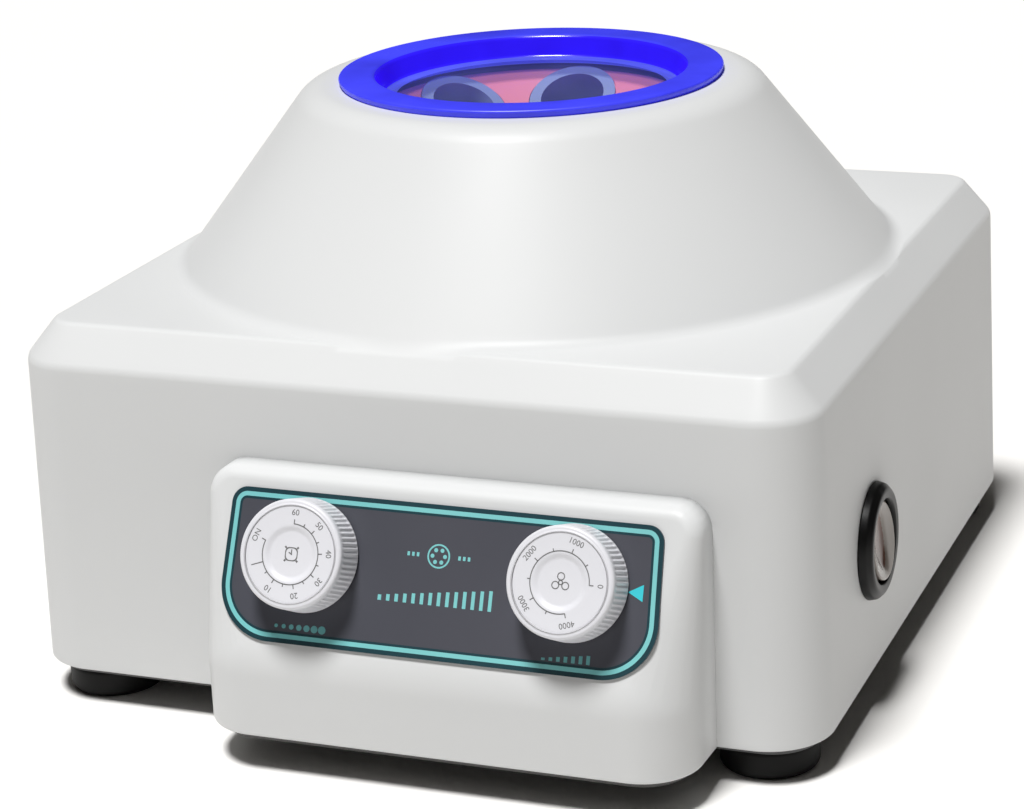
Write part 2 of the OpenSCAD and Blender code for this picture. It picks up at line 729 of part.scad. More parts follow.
// The case holds a ball bearing in each end
module motor_case() color("#55585c") on_axis() difference() {
    union() {
        translate([0, 0, z_motor]) cylinder(r = motor_r, h = motor_h);
        for (s = [-1, 1]) translate([s * (motor_r - motor_t), 0, z_motor + motor_h / 2]) rotate([0, s * 90, 0])
            cylinder(r = brush_r + brush_wall, h = brush_out);
    }
    translate([0, 0, z_motor + motor_floor])
        cylinder(r = motor_r - motor_t, h = motor_h - 2 * motor_floor);
    translate([0, 0, z_motor - over]) cylinder(r = shaft_r + lip_gap, h = motor_h + 2 * over);
    translate([0, 0, z_motor + seat_lip]) cylinder(r = bearing_r, h = bearing_w + slab);
    translate([0, 0, z_motor_top - motor_floor - slab]) cylinder(r = bearing_r, h = bearing_w + slab);
    motor_bolt_places() translate([0, 0, z_motor - over]) cylinder(r = motor_bolt_r, h = motor_floor - over / 2 + over);
    for (s = [-1, 1]) translate([s * (motor_r + brush_out), 0, z_motor + motor_h / 2]) rotate([0, -s * 90, 0])
        translate([0, 0, -over]) cylinder(r = brush_r, h = brush_out + over);
}
module brush_caps() color("#1d1d1d") on_axis() for (s = [-1, 1])
    translate([s * (motor_r - motor_t + brush_in), 0, z_motor + motor_h / 2]) rotate([0, s * 90, 0])
        cylinder(r = brush_r, h = brush_out - motor_t + brush_cap_h);

module bearing(z) on_axis() difference() {
    translate([0, 0, z]) cylinder(r = bearing_r, h = bearing_w);
    translate([0, 0, z - over]) cylinder(r = shaft_r + run_gap, h = bearing_w + 2 * over);
}
module upper_bearing() color("#c9cccf") bearing(z_motor_top - motor_floor);
module lower_bearing() color("#c9cccf") bearing(z_motor + seat_lip);
module motor_shaft() color("#d2d5d8") on_axis() translate([0, 0, z_motor + seat_lip / 2])
    cylinder(r = shaft_r, h = z_hub + rotor_nut_h - cap_t - z_motor - seat_lip / 2);
module armature() color("#a5672f") on_axis() difference() {
    translate([0, 0, z_motor + motor_floor + armature_gap])
        cylinder(r = armature_r, h = motor_h - 2 * motor_floor - 2 * armature_gap);
    translate([0, 0, z_motor]) cylinder(r = shaft_r, h = motor_h);
}

// The rotor: a hub and a dish that rises square to the tubes, with a hole and a flat seat for each
// sleeve, which hangs in it by its collar
module rotor_head() color("#d0505f") difference() {
    on_axis() rotate_extrude() polygon([
        [0, z_hub - hub_h], [hub_r, z_hub - hub_h], [hub_r, dish_z(hub_r) - rotor_t],
        [rotor_dish_r, dish_z(rotor_dish_r) - rotor_t],
        [rotor_dish_r + dish_edge, dish_z(rotor_dish_r) - rotor_t + dish_edge],
        [rotor_dish_r + dish_edge, dish_z(rotor_dish_r) - dish_edge / 2],
        [rotor_dish_r, dish_z(rotor_dish_r)], [hub_r, dish_z(hub_r)], [0, dish_z(hub_r)]]);
    for (n = [0:places - 1]) at_mouth(n) {
        translate([0, 0, -2 * rotor_t]) cylinder(r = sleeve_r + sleeve_t + sleeve_gap, h = 3 * rotor_t);
        cylinder(r = sleeve_r + sleeve_t + collar_out + sleeve_gap, h = 2 * rotor_t);
    }
    on_axis() translate([0, 0, z_hub - hub_h - over]) cylinder(r = shaft_r, h = hub_h + 2 * over);
}
module rotor_nut() color("#2a2b2e") on_axis() difference() {
    rotate_extrude() polygon([[0, z_hub], [rotor_nut_r, z_hub], [rotor_nut_r, z_hub + rotor_nut_h - nut_edge],
        [rotor_nut_r - nut_edge, z_hub + rotor_nut_h], [0, z_hub + rotor_nut_h]]);
    translate([0, 0, z_hub - over]) cylinder(r = shaft_r, h = rotor_nut_h - cap_t + over);
}

// A sleeve that carries one tube
module tube_sleeve(n) color("#8f9cb8") at_mouth(n) difference() {
    union() {
        cylinder(r = sleeve_r + sleeve_t + collar_out, h = collar_t);
        translate([0, 0, -sleeve_d - sleeve_t]) cylinder(r = sleeve_r + sleeve_t, h = sleeve_d + sleeve_t + slab);
    }
    translate([0, 0, -sleeve_d]) cylinder(r = sleeve_r, h = sleeve_d + collar_t + over);
}

// The lift-out lid: a flange on the cone's top, a spigot in the mouth and a see-through recess
module lid() color([0.3, 0.35, 0.92, 0.6]) on_axis() rotate_extrude() polygon([
    [0, z_lid - lid_dish_d], [lid_floor_r, z_lid - lid_dish_d], [lid_dish_r, z_lid],
    [lid_r - lid_edge, z_lid], [lid_r, z_lid - lid_edge], [lid_r, z_top],
    [mouth_r - lid_gap, z_top], [mouth_r - lid_gap, z_top - spigot_d],
    [mouth_r - lid_gap - lid_t, z_top - spigot_d], [lid_floor_r + lid_t, z_lid - lid_dish_d - lid_t / 2],
    [lid_floor_r, z_lid - lid_dish_d - lid_t], [0, z_lid - lid_dish_d - lid_t]]);

// The round power switch
module switch_rim() color("#1c1b1a") difference() {
    on_right_wall() union() {
        rotate_extrude() polygon([[0, 0], [switch_rim_r, 0], [switch_rim_r, switch_rim_h - 2 * rim_round],
            [switch_rim_r - rim_round, switch_rim_h], [0, switch_rim_h]]);
        translate([0, 0, -switch_barrel_d]) cylinder(r = switch_barrel_r, h = switch_barrel_d + slab);
    }
    on_right_wall() translate([0, 0, -switch_barrel_d + switch_back_t])
        cylinder(r = switch_window_r, h = switch_barrel_d + switch_rim_h + over);
    on_rocker() rotate([90, 0, 0]) cylinder(r = rocker_pin_r, h = 2 * switch_barrel_r - 1, center = true);
}
// The rocker's pin lies across the switch, level, behind the wall's face
module on_rocker() on_right_wall() translate([0, 0, switch_rim_h - rocker_in - rocker_l / 2]) children();
module rocker_pin() color("#c9cccf") on_rocker() rotate([90, 0, 0])
    cylinder(r = rocker_pin_r, h = 2 * switch_barrel_r - 1, center = true);
module switch_rocker() color([0.5, 0.44, 0.42]) on_rocker() rotate([0, -rocker_throw / 2, 0]) difference() {
    translate([0, 0, -rocker_l / 2]) cylinder(r = rocker_r, h = rocker_l);
    translate([0, 0, rocker_l / 2 - rocker_dish + rocker_dish_r]) sphere(r = rocker_dish_r);
    rotate([90, 0, 0]) cylinder(r = rocker_pin_r + run_gap, h = 3 * rocker_r, center = true);
}

// The mains inlet: a flange, a box with a socket, and three flat pins
module inlet_socket() color("#232323") on_rear_wall(inlet_left) difference() {
    union() {
        translate([-inlet_w / 2, -inlet_h / 2, 0]) cube([inlet_w, inlet_h, inlet_t]);
        translate([-socket_w / 2 - socket_wall, -socket_h / 2 - socket_wall, -socket_d - socket_wall])
            cube([socket_w + 2 * socket_wall, socket_h + 2 * socket_wall, socket_d + socket_wall + slab]);
    }
    translate([-socket_w / 2, -socket_h / 2, -socket_d]) cube([socket_w, socket_h, socket_d + inlet_t + over]);
    for (s = [-1, 1]) translate([s * inlet_screws_gap / 2, 0, -over]) cylinder(r = inlet_screw_r, h = inlet_t + 2 * over);
    pins() translate([0, 0, -socket_wall - over]) linear_extrude(2 * socket_wall + over) pin_outline();
}
module pin_outline() square([pin_t, pin_w], center = true);
module pins() for (n = [-1, 0, 1]) translate([n * pin_gap, n == 0 ? -pin_rise : pin_rise, -socket_d]) children();
module inlet_pins() color("#d0c28a") on_rear_wall(inlet_left) pins()
    translate([0, 0, -socket_wall - pin_tail]) linear_extrude(socket_wall + pin_tail + pin_l) pin_outline();
module inlet_screws() color("#b9bcc0") on_rear_wall(inlet_left) for (s = [-1, 1])
    translate([s * inlet_screws_gap / 2, 0, 0]) union() {
        translate([0, 0, inlet_t]) cylinder(r = inlet_screw_r * 2, h = inlet_screw_r);
        translate([0, 0, -inlet_screw_l]) cylinder(r = inlet_screw_r, h = inlet_screw_l + inlet_t + slab);
    }

// The fuse holder, its cap and its fuse
module fuse_holder() color("#232323") on_rear_wall(fuse_left) difference() {
    union() {
        cylinder(r = fuse_flange_r, h = fuse_flange_t);
        translate([0, 0, -fuse_barrel_d]) cylinder(r = fuse_barrel_r, h = fuse_barrel_d + slab);
    }
    translate([0, 0, -fuse_barrel_d + switch_back_t])
        cylinder(r = fuse_r + fuse_wall + fuse_gap, h = fuse_barrel_d + fuse_flange_t + over);
}
module fuse_cap() color("#2c2c2c") on_rear_wall(fuse_left) difference() {
    union() {
        translate([0, 0, fuse_flange_t]) cylinder(r = fuse_cap_r, h = fuse_cap_h);
        translate([0, 0, -fuse_grip]) cylinder(r = fuse_r + fuse_wall, h = fuse_grip + fuse_flange_t + slab);
    }
    translate([0, 0, -fuse_grip - over]) cylinder(r = fuse_r, h = fuse_grip + over);
    translate([-fuse_cap_r - over, -fuse_slot / 2, fuse_flange_t + fuse_cap_h - fuse_slot])
        cube([2 * fuse_cap_r + 2 * over, fuse_slot, fuse_slot + over]);
}
module fuse() color([0.8, 0.85, 0.85]) on_rear_wall(fuse_left) translate([0, 0, -fuse_l])
    cylinder(r = fuse_r, h = fuse_l);

housing();
base_plate();
foot(-1, -1);  // foot_front_left
foot(1, -1);  // foot_front_right
foot(-1, 1);  // foot_rear_left
foot(1, 1);  // foot_rear_right
foot_screws();
foot_nuts();
housing_screws();
panel_plate();
timer_clockwork();
timer_nut();
timer_shaft();
timer_knob();
speed_control();
speed_nut();
speed_shaft();
speed_knob();
control_board();
heat_sink();
board_standoffs();
chamber_bowl();
bowl_pillars();
motor_plate();
motor_dampers();
motor_case();
motor_bolts();
upper_bearing();
lower_bearing();
brush_caps();
motor_shaft();
armature();
rotor_head();
rotor_nut();
tube_sleeve(0);  // tube_sleeve_1
tube_sleeve(1);  // tube_sleeve_2
tube_sleeve(2);  // tube_sleeve_3
tube_sleeve(3);  // tube_sleeve_4
tube_sleeve(4);  // tube_sleeve_5
tube_sleeve(5);  // tube_sleeve_6
lid();
switch_rim();
rocker_pin();
switch_rocker();
inlet_socket();
inlet_pins();
inlet_screws();
fuse_holder();
fuse_cap();
fuse();
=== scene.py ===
"""Looks of the bench centrifuge: a glossy moulded housing, a tinted lid, printed dials and a soft studio."""

import math

import bmesh
import bpy
from mathutils import Matrix, Vector


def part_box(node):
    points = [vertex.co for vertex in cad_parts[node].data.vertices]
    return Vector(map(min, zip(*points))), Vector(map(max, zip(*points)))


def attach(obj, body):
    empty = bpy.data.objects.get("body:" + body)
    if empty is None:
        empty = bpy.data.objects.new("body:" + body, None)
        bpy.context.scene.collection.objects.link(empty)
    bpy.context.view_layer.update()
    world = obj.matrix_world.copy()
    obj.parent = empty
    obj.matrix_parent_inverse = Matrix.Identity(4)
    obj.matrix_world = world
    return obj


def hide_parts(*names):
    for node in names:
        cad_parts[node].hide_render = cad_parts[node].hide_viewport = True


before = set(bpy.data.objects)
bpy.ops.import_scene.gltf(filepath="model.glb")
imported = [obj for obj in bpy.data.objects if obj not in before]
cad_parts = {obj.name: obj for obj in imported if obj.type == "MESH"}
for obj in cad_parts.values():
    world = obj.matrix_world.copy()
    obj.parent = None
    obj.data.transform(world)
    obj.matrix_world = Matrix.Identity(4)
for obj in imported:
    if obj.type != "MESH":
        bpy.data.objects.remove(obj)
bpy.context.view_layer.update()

MM = 0.001
TAU = 2 * math.pi

# Sizes in millimetres, the same as the model's. The lid's radius and the console's upper corners follow the
# photograph more closely than the model does
BODY_W = 260.0
BODY_D = 254.0
WALL_H = 101.5
DRAFT = 1.6
CHAMFER_IN = 9.7
CHAMFER_UP = 11.7
CORNER_R = 18.7
SHELL_T = 3.0
CONE_BASE_R = 118.6
CONE_TOP_R = 74.1
CONE_H = 57.3
SHOULDER_R = 12.0
MOUTH_R = 56.0
AXIS_BACK = 1.9
CONSOLE_W = 157.5
CONSOLE_RIGHT = 22.3
CONSOLE_OUT = 32.2
KNEE_H = 25.0
CONSOLE_H = 77.8
PANEL_TILT = math.radians(23)
CONSOLE_R = 18.0
LEDGE_R = 5.0
UPPER_R = 9.0
PLATE_W = 138.8
PLATE_H = 45.6
PLATE_UP = 6.5
PLATE_T = 0.8
PLATE_TOP_R = 5.0
PLATE_LOW_R = 17.0
PLATE_TAPER = 0.7
KNOB_GAP = 84.8
KNOB_UP = 33.3
KNOB_R = 17.2
KNOB_FACE_R = 16.3
KNOB_H = 11.4
KNOB_LIFT = 0.6
EDGE_Z = 12.0
LID_FLANGE_T = 2.6
LID_R = 64.0
LID_DISH_R = 51.4
LID_FLOOR_R = 49.4
LID_DISH_D = 7.6
LID_T = 2.0
LID_GAP = 0.6
SPIGOT_D = 8.0
SWITCH_FORE = 60.5
SWITCH_UP = 42.5
SWITCH_RIM_R = 18.6
SWITCH_RIM_H = 4.4
SWITCH_WINDOW_R = 13.1
ROCKER_R = 12.4
ROCKER_L = 8.6
ROCKER_IN = 0.6
ROCKER_THROW = math.radians(12)
INLET_LEFT = 62.0
FUSE_LEFT = 12.0
REAR_UP = 30.0

WALL_Z = EDGE_Z + WALL_H
DECK_Z = WALL_Z + CHAMFER_UP
TOP_Z = DECK_Z + CONE_H
LID_Z = TOP_Z + LID_FLANGE_T
KNEE_Z = EDGE_Z + KNEE_H
FRONT_Y = -(BODY_D / 2 + CONSOLE_OUT)
WALL_LEAN = DRAFT / WALL_H
WALL_ANGLE = math.atan(WALL_LEAN)

# The spin axis stands where the lid's middle is, and everything is placed from it
lid_low, lid_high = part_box("lid")
AXIS = Vector(((lid_low[0] + lid_high[0]) / 2, (lid_low[1] + lid_high[1]) / 2, 0)) / MM
SHIFT = AXIS - Vector((0, AXIS_BACK, 0))


def wall_out(z):
    """How far the side walls lean out at a height."""
    return WALL_LEAN * (WALL_Z - z)


def place(offset=(0, 0, 0), turn=None):
    """Matrix from local millimetres, round a point of the housing, to the frame's metres."""
    base = Matrix.Translation((SHIFT + Vector(offset)) * MM)
    turned = base @ turn.to_4x4() if turn is not None else base
    return turned @ Matrix.Scale(MM, 4)


def on_panel(x, up):
    """Local Z points out of the console's panel and local Y points up it."""
    turn = Matrix.Rotation(math.pi / 2 - PANEL_TILT, 3, "X")
    foot = Vector((CONSOLE_RIGHT + x, FRONT_Y, KNEE_Z)) + turn @ Vector((0, up, 0))
    return place(foot, turn)


def on_right_wall(out=0.0):
    """Local Z points out of the right wall at the switch, and local X points down it."""
    z = EDGE_Z + SWITCH_UP
    turn = Matrix.Rotation(math.pi / 2 - WALL_ANGLE, 3, "Y")
    foot = Vector((BODY_W / 2 + wall_out(z), -SWITCH_FORE, z)) + turn @ Vector((0, 0, out))
    return place(foot, turn)


# Materials: small builders round the Principled shader


class Paint:
    """A procedural material, whose colour, roughness and bump come from noise in object coordinates."""

    def __init__(self, name):
        self.material = bpy.data.materials.new(name)
        self.material.use_nodes = True
        self.tree = self.material.node_tree
        self.shader = self.tree.nodes["Principled BSDF"]
        self.coords = self.tree.nodes.new("ShaderNodeTexCoord").outputs["Object"]

    def set(self, **values):
        """Constants on the shader's own sockets."""
        for key, value in values.items():
            self.shader.inputs[key.replace("_", " ")].default_value = value

    def link(self, source, socket):
        """Joins a node's output to one of the shader's sockets."""
        self.tree.links.new(source, self.shader.inputs[socket])

    def noise(self, scale, detail=3.0, rough=0.5, stretch=(1, 1, 1)):
        """Noise in object coordinates, with scale in bumps per metre."""
        mapping = self.tree.nodes.new("ShaderNodeMapping")
        mapping.inputs["Scale"].default_value = stretch
        self.tree.links.new(self.coords, mapping.inputs["Vector"])
        node = self.tree.nodes.new("ShaderNodeTexNoise")
        node.inputs["Scale"].default_value = scale
        node.inputs["Detail"].default_value = detail
        node.inputs["Roughness"].default_value = rough
        self.tree.links.new(mapping.outputs["Vector"], node.inputs["Vector"])
        return node.outputs["Fac"]

    def ramp(self, source, low, high, start=0.3, end=0.7):
        """Maps the span from start to end on to the span from low to high."""
        node = self.tree.nodes.new("ShaderNodeMapRange")
        node.inputs["From Min"].default_value = start
        node.inputs["From Max"].default_value = end
        node.inputs["To Min"].default_value = low
        node.inputs["To Max"].default_value = high
        self.tree.links.new(source, node.inputs["Value"])
        return node.outputs["Result"]

    def mix(self, factor, first, second):
        """A blend of two colours, each a tuple or a node's output."""
        node = self.tree.nodes.new("ShaderNodeMix")
        node.data_type = "RGBA"
        self.tree.links.new(factor, node.inputs["Factor"])
        for socket, colour in (("A", first), ("B", second)):
            if isinstance(colour, tuple):
                node.inputs[socket].default_value = colour
            else:
                self.tree.links.new(colour, node.inputs[socket])
        return node.outputs["Result"]

    def bump(self, source, strength, distance):
        """Relief on the shader's normal, with distance in metres."""
        node = self.tree.nodes.new("ShaderNodeBump")
        node.inputs["Strength"].default_value = strength
        node.inputs["Distance"].default_value = distance
        self.tree.links.new(source, node.inputs["Height"])
        self.tree.links.new(node.outputs["Normal"], self.shader.inputs["Normal"])

    def edges(self, start, end):
        """1 on outer edges, 0 on flats."""
        pointiness = self.tree.nodes.new("ShaderNodeNewGeometry").outputs["Pointiness"]
        return self.ramp(pointiness, 0, 1, start, end)


WARM_WHITE = (1, 0.985, 0.96)
COOL_WHITE = (0.99, 1, 1)
BLUISH_WHITE = (1, 1, 1.05)
WORN_GREY = 0.5


def grey(value, tint=(1, 1, 1)):
    """A grey with a slight tint, as a shader's colour."""
    return (value * tint[0], value * tint[1], value * tint[2], 1)


def plastic(name, light, dark, rough, grain, grain_depth, coat=0.0, wear=0.0, shine=0.5):
    """Moulded plastic: a slow drift of tone, a faint waviness, patchy gloss and paler worn edges."""
    paint = Paint(name)
    tone = paint.mix(paint.ramp(paint.noise(scale=9), 0, 1), light, dark)
    if wear:
        worn = tuple(c + (WORN_GREY - c) * wear for c in light[:3]) + (1,)
        tone = paint.mix(paint.edges(start=0.52, end=0.62), tone, worn)
    paint.link(tone, "Base Color")
    paint.link(paint.ramp(paint.noise(scale=14, detail=4), *rough), "Roughness")
    paint.bump(paint.noise(grain, detail=2), strength=0.2, distance=grain_depth)
    paint.set(Coat_Weight=coat, Specular_IOR_Level=shine)
    return paint.material


def printed(name, light, dark, rough=(0.4, 0.5)):
    """Ink or lacquer, with a grain finer than the mouldings'."""
    return plastic(name, light, dark, rough, 900, 0.00001)


def metal(name, light, dark, rough, stretch=(1, 1, 1), scale=900):
    """Bare metal, with a grain that can be drawn out along one direction."""
    paint = Paint(name)
    paint.link(paint.mix(paint.ramp(paint.noise(scale=40), 0, 1), light, dark), "Base Color")
    grain = paint.noise(scale, rough=0.6, stretch=stretch)
    paint.link(paint.ramp(grain, *rough), "Roughness")
    paint.bump(grain, strength=0.2, distance=0.00003)
    paint.set(Metallic=1.0)
    return paint.material


def tinted_clear(name, colour, rough, alpha, painted_glow=None):
    """Clear tinted moulding, shown by its share of cover; its emission is painted light, standing for the light
    that runs inside it.
    """
    paint = Paint(name)
    deep = tuple(c * 0.55 for c in colour[:3]) + (1,)
    paint.link(paint.mix(paint.ramp(paint.noise(scale=25), 0, 1), colour, deep), "Base Color")
    paint.link(paint.ramp(paint.noise(scale=90), *rough), "Roughness")
    paint.bump(paint.noise(scale=50, detail=2), strength=0.1, distance=0.0002)
    paint.set(Alpha=alpha, IOR=1.5)
    # Painted light: the moulding is given an emission though it is no lamp
    if painted_glow:
        colour, strength = painted_glow
        paint.set(Emission_Color=colour, Emission_Strength=strength)
    return paint.material


WHITE = plastic("housing_abs", grey(0.68, COOL_WHITE), grey(0.665, COOL_WHITE), (0.42, 0.5), 160, 0.00001,
                shine=0.35)
KNOB_WHITE = plastic("knob_abs", grey(0.74, BLUISH_WHITE), grey(0.71, BLUISH_WHITE), (0.32, 0.42), 600, 0.00001)
SLATE = printed("plate_print", (0.060, 0.063, 0.078, 1), (0.070, 0.071, 0.087, 1), (0.36, 0.46))
CYAN = printed("cyan_print", (0.17, 0.52, 0.53, 1), (0.21, 0.57, 0.57, 1))
CYAN_DEEP = printed("pointer_print", (0.03, 0.52, 0.60, 1), (0.05, 0.58, 0.66, 1))
# Cyan print darkened by painted shade, for the marks that lie in the knobs' shadow
CYAN_IN_PAINTED_SHADE = printed("cyan_print_in_painted_shade", (0.12, 0.36, 0.37, 1), (0.14, 0.39, 0.40, 1))
TEAL = printed("teal_print", (0.006, 0.036, 0.047, 1), (0.008, 0.044, 0.057, 1))
INK = printed("dial_ink", grey(0.12), grey(0.17), (0.5, 0.6))
BLACK = plastic("black_moulding", grey(0.003), grey(0.005), (0.3, 0.4), 500, 0.00002, wear=0.02, shine=0.22)
RUBBER = plastic("foot_rubber", grey(0.003), grey(0.006), (0.5, 0.7), 500, 0.00005, wear=0.02, shine=0.2)
BASE = plastic("base_coat", grey(0.03), grey(0.04), (0.45, 0.6), 700, 0.00004, wear=0.1)
SMOKE = plastic("rocker_smoke", (0.25, 0.23, 0.20, 1), (0.21, 0.18, 0.16, 1), (0.18, 0.25), 300, 0.00001,
                coat=0.2)
RUST = plastic("rocker_lens", (0.17, 0.075, 0.05, 1), (0.12, 0.06, 0.045, 1), (0.12, 0.2), 300, 0.00001,
               coat=0.2)
ROTOR_RED = plastic("rotor_red", (0.9, 0.27, 0.32, 1), (0.85, 0.24, 0.3, 1), (0.35, 0.5), 500, 0.00002)
SLEEVE = plastic("sleeve_blue_grey", (0.26, 0.34, 0.55, 1), (0.22, 0.29, 0.48, 1), (0.3, 0.42), 500, 0.00002)
BOARD = plastic("board_green", (0.015, 0.14, 0.06, 1), (0.01, 0.1, 0.045, 1), (0.3, 0.45), 500, 0.00002)
RESIN = plastic("control_resin", (0.2, 0.1, 0.05, 1), (0.15, 0.08, 0.04, 1), (0.35, 0.5), 500, 0.00003)
ENAMEL = plastic("motor_enamel", grey(0.05), grey(0.07), (0.3, 0.45), 500, 0.00004, coat=0.3, wear=0.1)
ZINC = metal("zinc_steel", grey(0.55), grey(0.48), (0.3, 0.42))
NICKEL = metal("nickel", grey(0.68), grey(0.6), (0.12, 0.25))
SPUN = metal("spun_steel", grey(0.6), grey(0.54), (0.3, 0.42), stretch=(1, 1, 14), scale=300)
ALUMINIUM = metal("aluminium", grey(0.72), grey(0.66), (0.3, 0.45), stretch=(1, 12, 1), scale=400)
BRASS = metal("brass", (0.75, 0.56, 0.25, 1), (0.62, 0.45, 0.2, 1), (0.3, 0.42))
COPPER = metal("winding", (0.62, 0.27, 0.12, 1), (0.5, 0.2, 0.09, 1), (0.3, 0.45), stretch=(1, 1, 20),
               scale=500)
# The lid's ring, wall and band are given emission: painted light, though they are no lamp
LID_RING = tinted_clear("lid_ring", (0.06, 0.07, 0.95, 1), (0.3, 0.4), 0.97, painted_glow=((0.03, 0.02, 1.0, 1), 0.2))
LID_WALL = tinted_clear("lid_wall", (0.03, 0.02, 0.9, 1), (0.16, 0.25), 0.93, painted_glow=((0.03, 0.0, 1.0, 1), 0.45))
LID_BAND = tinted_clear("lid_band", (0.14, 0.17, 0.8, 1), (0.3, 0.4), 0.6, painted_glow=((0.08, 0.1, 0.8, 1), 0.4))
LID_FLOOR = tinted_clear("lid_floor", (0.3, 0.33, 0.95, 1), (0.12, 0.2), 0.12)
GLASS = tinted_clear("fuse_glass", (0.8, 0.85, 0.85, 1), (0.05, 0.1), 0.35)

NODE_PAINT = {
    "base_plate": BASE, "panel_plate": SLATE, "foot_screws": ZINC, "foot_nuts": ZINC,
    "housing_screws": ZINC, "timer_clockwork": BRASS, "timer_nut": NICKEL, "timer_shaft": ZINC,
    "speed_control": RESIN, "speed_nut": NICKEL, "speed_shaft": ZINC, "control_board": BOARD,
    "heat_sink": ALUMINIUM, "board_standoffs": ZINC, "chamber_bowl": SPUN, "bowl_pillars": ZINC,
    "motor_plate": ZINC, "motor_dampers": RUBBER, "motor_case": ENAMEL, "motor_bolts": ZINC,
    "upper_bearing": ZINC, "lower_bearing": ZINC, "brush_caps": BLACK, "motor_shaft": ZINC,
    "armature": COPPER, "rotor_head": ROTOR_RED, "rotor_nut": BLACK, "rocker_pin": ZINC,
    "inlet_socket": BLACK, "inlet_pins": BRASS, "inlet_screws": ZINC, "fuse_holder": BLACK,
    "fuse_cap": BLACK, "fuse": GLASS,
}
for corner in ("front_left", "front_right", "rear_left", "rear_right"):
    NODE_PAINT["foot_" + corner] = RUBBER
for number in range(1, 7):
    NODE_PAINT["tube_sleeve_%d" % number] = SLEEVE
for name, material in NODE_PAINT.items():
    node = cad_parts[name]
    node.data.materials.clear()
    node.data.materials.append(material)


# Mesh helpers


def piece(name, points, faces, matrix, material, body, smooth=True, paints=None, weigh=False):
    """A mesh piece from local points, placed by a matrix and riding on a body."""
    mesh = bpy.data.meshes.new(name)
    mesh.from_pydata([tuple(p) for p in points], [], faces)
    mesh.transform(matrix)
    for one in (material if isinstance(material, list) else [material]):
        mesh.materials.append(one)
    if paints:
        for polygon, index in zip(mesh.polygons, paints):
            polygon.material_index = index
    made = bmesh.new()
    made.from_mesh(mesh)
    bmesh.ops.remove_doubles(made, verts=made.verts, dist=1e-7)
    bmesh.ops.recalc_face_normals(made, faces=made.faces)
    made.to_mesh(mesh)
    made.free()
    for polygon in mesh.polygons:
        polygon.use_smooth = smooth
    thing = bpy.data.objects.new(name, mesh)
    bpy.context.scene.collection.objects.link(thing)
    if weigh:
        modifier = thing.modifiers.new("weigh", "WEIGHTED_NORMAL")
        modifier.mode = "FACE_AREA"
        modifier.weight = 80
    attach(thing, body)
    return thing


def grid(rows, closed=True):
    """Points and quads of rows that all have as many points; closed joins each row's ends."""
    width = len(rows[0])
    points = [p for row in rows for p in row]
    faces = []
    for r in range(len(rows) - 1):
        for c in range(width if closed else width - 1):
            d = (c + 1) % width
            faces.append((r * width + c, r * width + d, (r + 1) * width + d, (r + 1) * width + c))
    return points, faces


def arc(cx, cy, r, start, end, steps):
    """Points on an arc, with angles in degrees."""
    out = []
    for n in range(steps + 1):
        a = math.radians(start + (end - start) * n / steps)
        out.append((cx + r * math.cos(a), cy + r * math.sin(a)))
    return out


def rounded(points, radii, steps=8):
    """A polyline with its inner points rounded to the given radii."""
    out = [points[0]]
    for before, here, after, r in zip(points, points[1:], points[2:], radii):
        a = Vector(before) - Vector(here)
        b = Vector(after) - Vector(here)
        half = a.angle(b) / 2
        reach = min(r / math.tan(half), 0.49 * a.length, 0.49 * b.length)
        if reach < 1e-4:
            out.append(here)
            continue
        start = Vector(here) + a.normalized() * reach
        end = Vector(here) + b.normalized() * reach
        true_r = reach * math.tan(half)
        centre = Vector(here) + (a.normalized() + b.normalized()).normalized() * (true_r / math.sin(half))
        first = start - centre
        turn = first.angle_signed(end - centre)
        for n in range(steps + 1):
            rotated = Matrix.Rotation(-turn * n / steps, 2) @ first
            out.append(tuple(centre + rotated))
    out.append(points[-1])
    return out


def lathe(profile, columns=160):
    """Rows of a solid of revolution about local Z, from radius and height pairs."""
    angles = [TAU * c / columns for c in range(columns)]
    return grid([[(r * math.cos(a), r * math.sin(a), z) for a in angles] for r, z in profile])


def between(a, b, t):
    """The point at share t of the way from a to b."""
    return tuple(p + (q - p) * t for p, q in zip(a, b))


def split(path, step):
    """A polyline with its legs divided into stretches of about one step."""
    out = []
    for a, b in zip(path, path[1:]):
        count = max(1, round(math.dist(a, b) / step))
        out += [between(a, b, n / count) for n in range(count)]
    return out + [path[-1]]


def end_caps(points, columns):
    """The two faces that close the first and the last row of a grid."""
    return [tuple(range(columns)), tuple(range(len(points) - columns, len(points)))]


def middle_of(points, face):
    """The mean of a face's corners."""
    return sum((Vector(points[i]) for i in face), Vector()) / len(face)


# The housing: one upright section per direction round the spin axis, from the bottom edge to the mouth

SIDE_STEPS = 104
CORNER_STEPS = 24
WALL_ROW = 2.0
CONE_ROW = 4.0
FOOT_EDGE_R = 0.9
WALL_EDGE_R = 4.5
DECK_EDGE_R = 3.0
CONE_SLOPE = CONE_H / (CONE_BASE_R - CONE_TOP_R)
CONE_START = 4.0
JOIN_R = 3.2
JOIN_STEPS = 9
LEAD_STEPS = 6
SKIRT_H = 8.0
SWITCH_CUT_R = 17.6
INLET_CUT_X = 17.0
INLET_CUT_Z = 11.6
FUSE_CUT_R = 7.6


def directions():
    """Angles round the spin axis, close together at the upright corners."""
    x, y = BODY_W / 2 - CORNER_R, BODY_D / 2 - CORNER_R
    bends = [arc(sx * x, sy * y, CORNER_R, start, start + 90, CORNER_STEPS)
             for sx, sy, start in ((1, -1, -90), (1, 1, 0), (-1, 1, 90), (-1, -1, 180))]
    out = []
    for bend, following in zip(bends, bends[1:] + bends[:1]):
        side = [between(bend[-1], following[0], n / SIDE_STEPS) for n in range(1, SIDE_STEPS)]
        out += [math.atan2(y - AXIS_BACK, x) for x, y in bend + side]
    return out


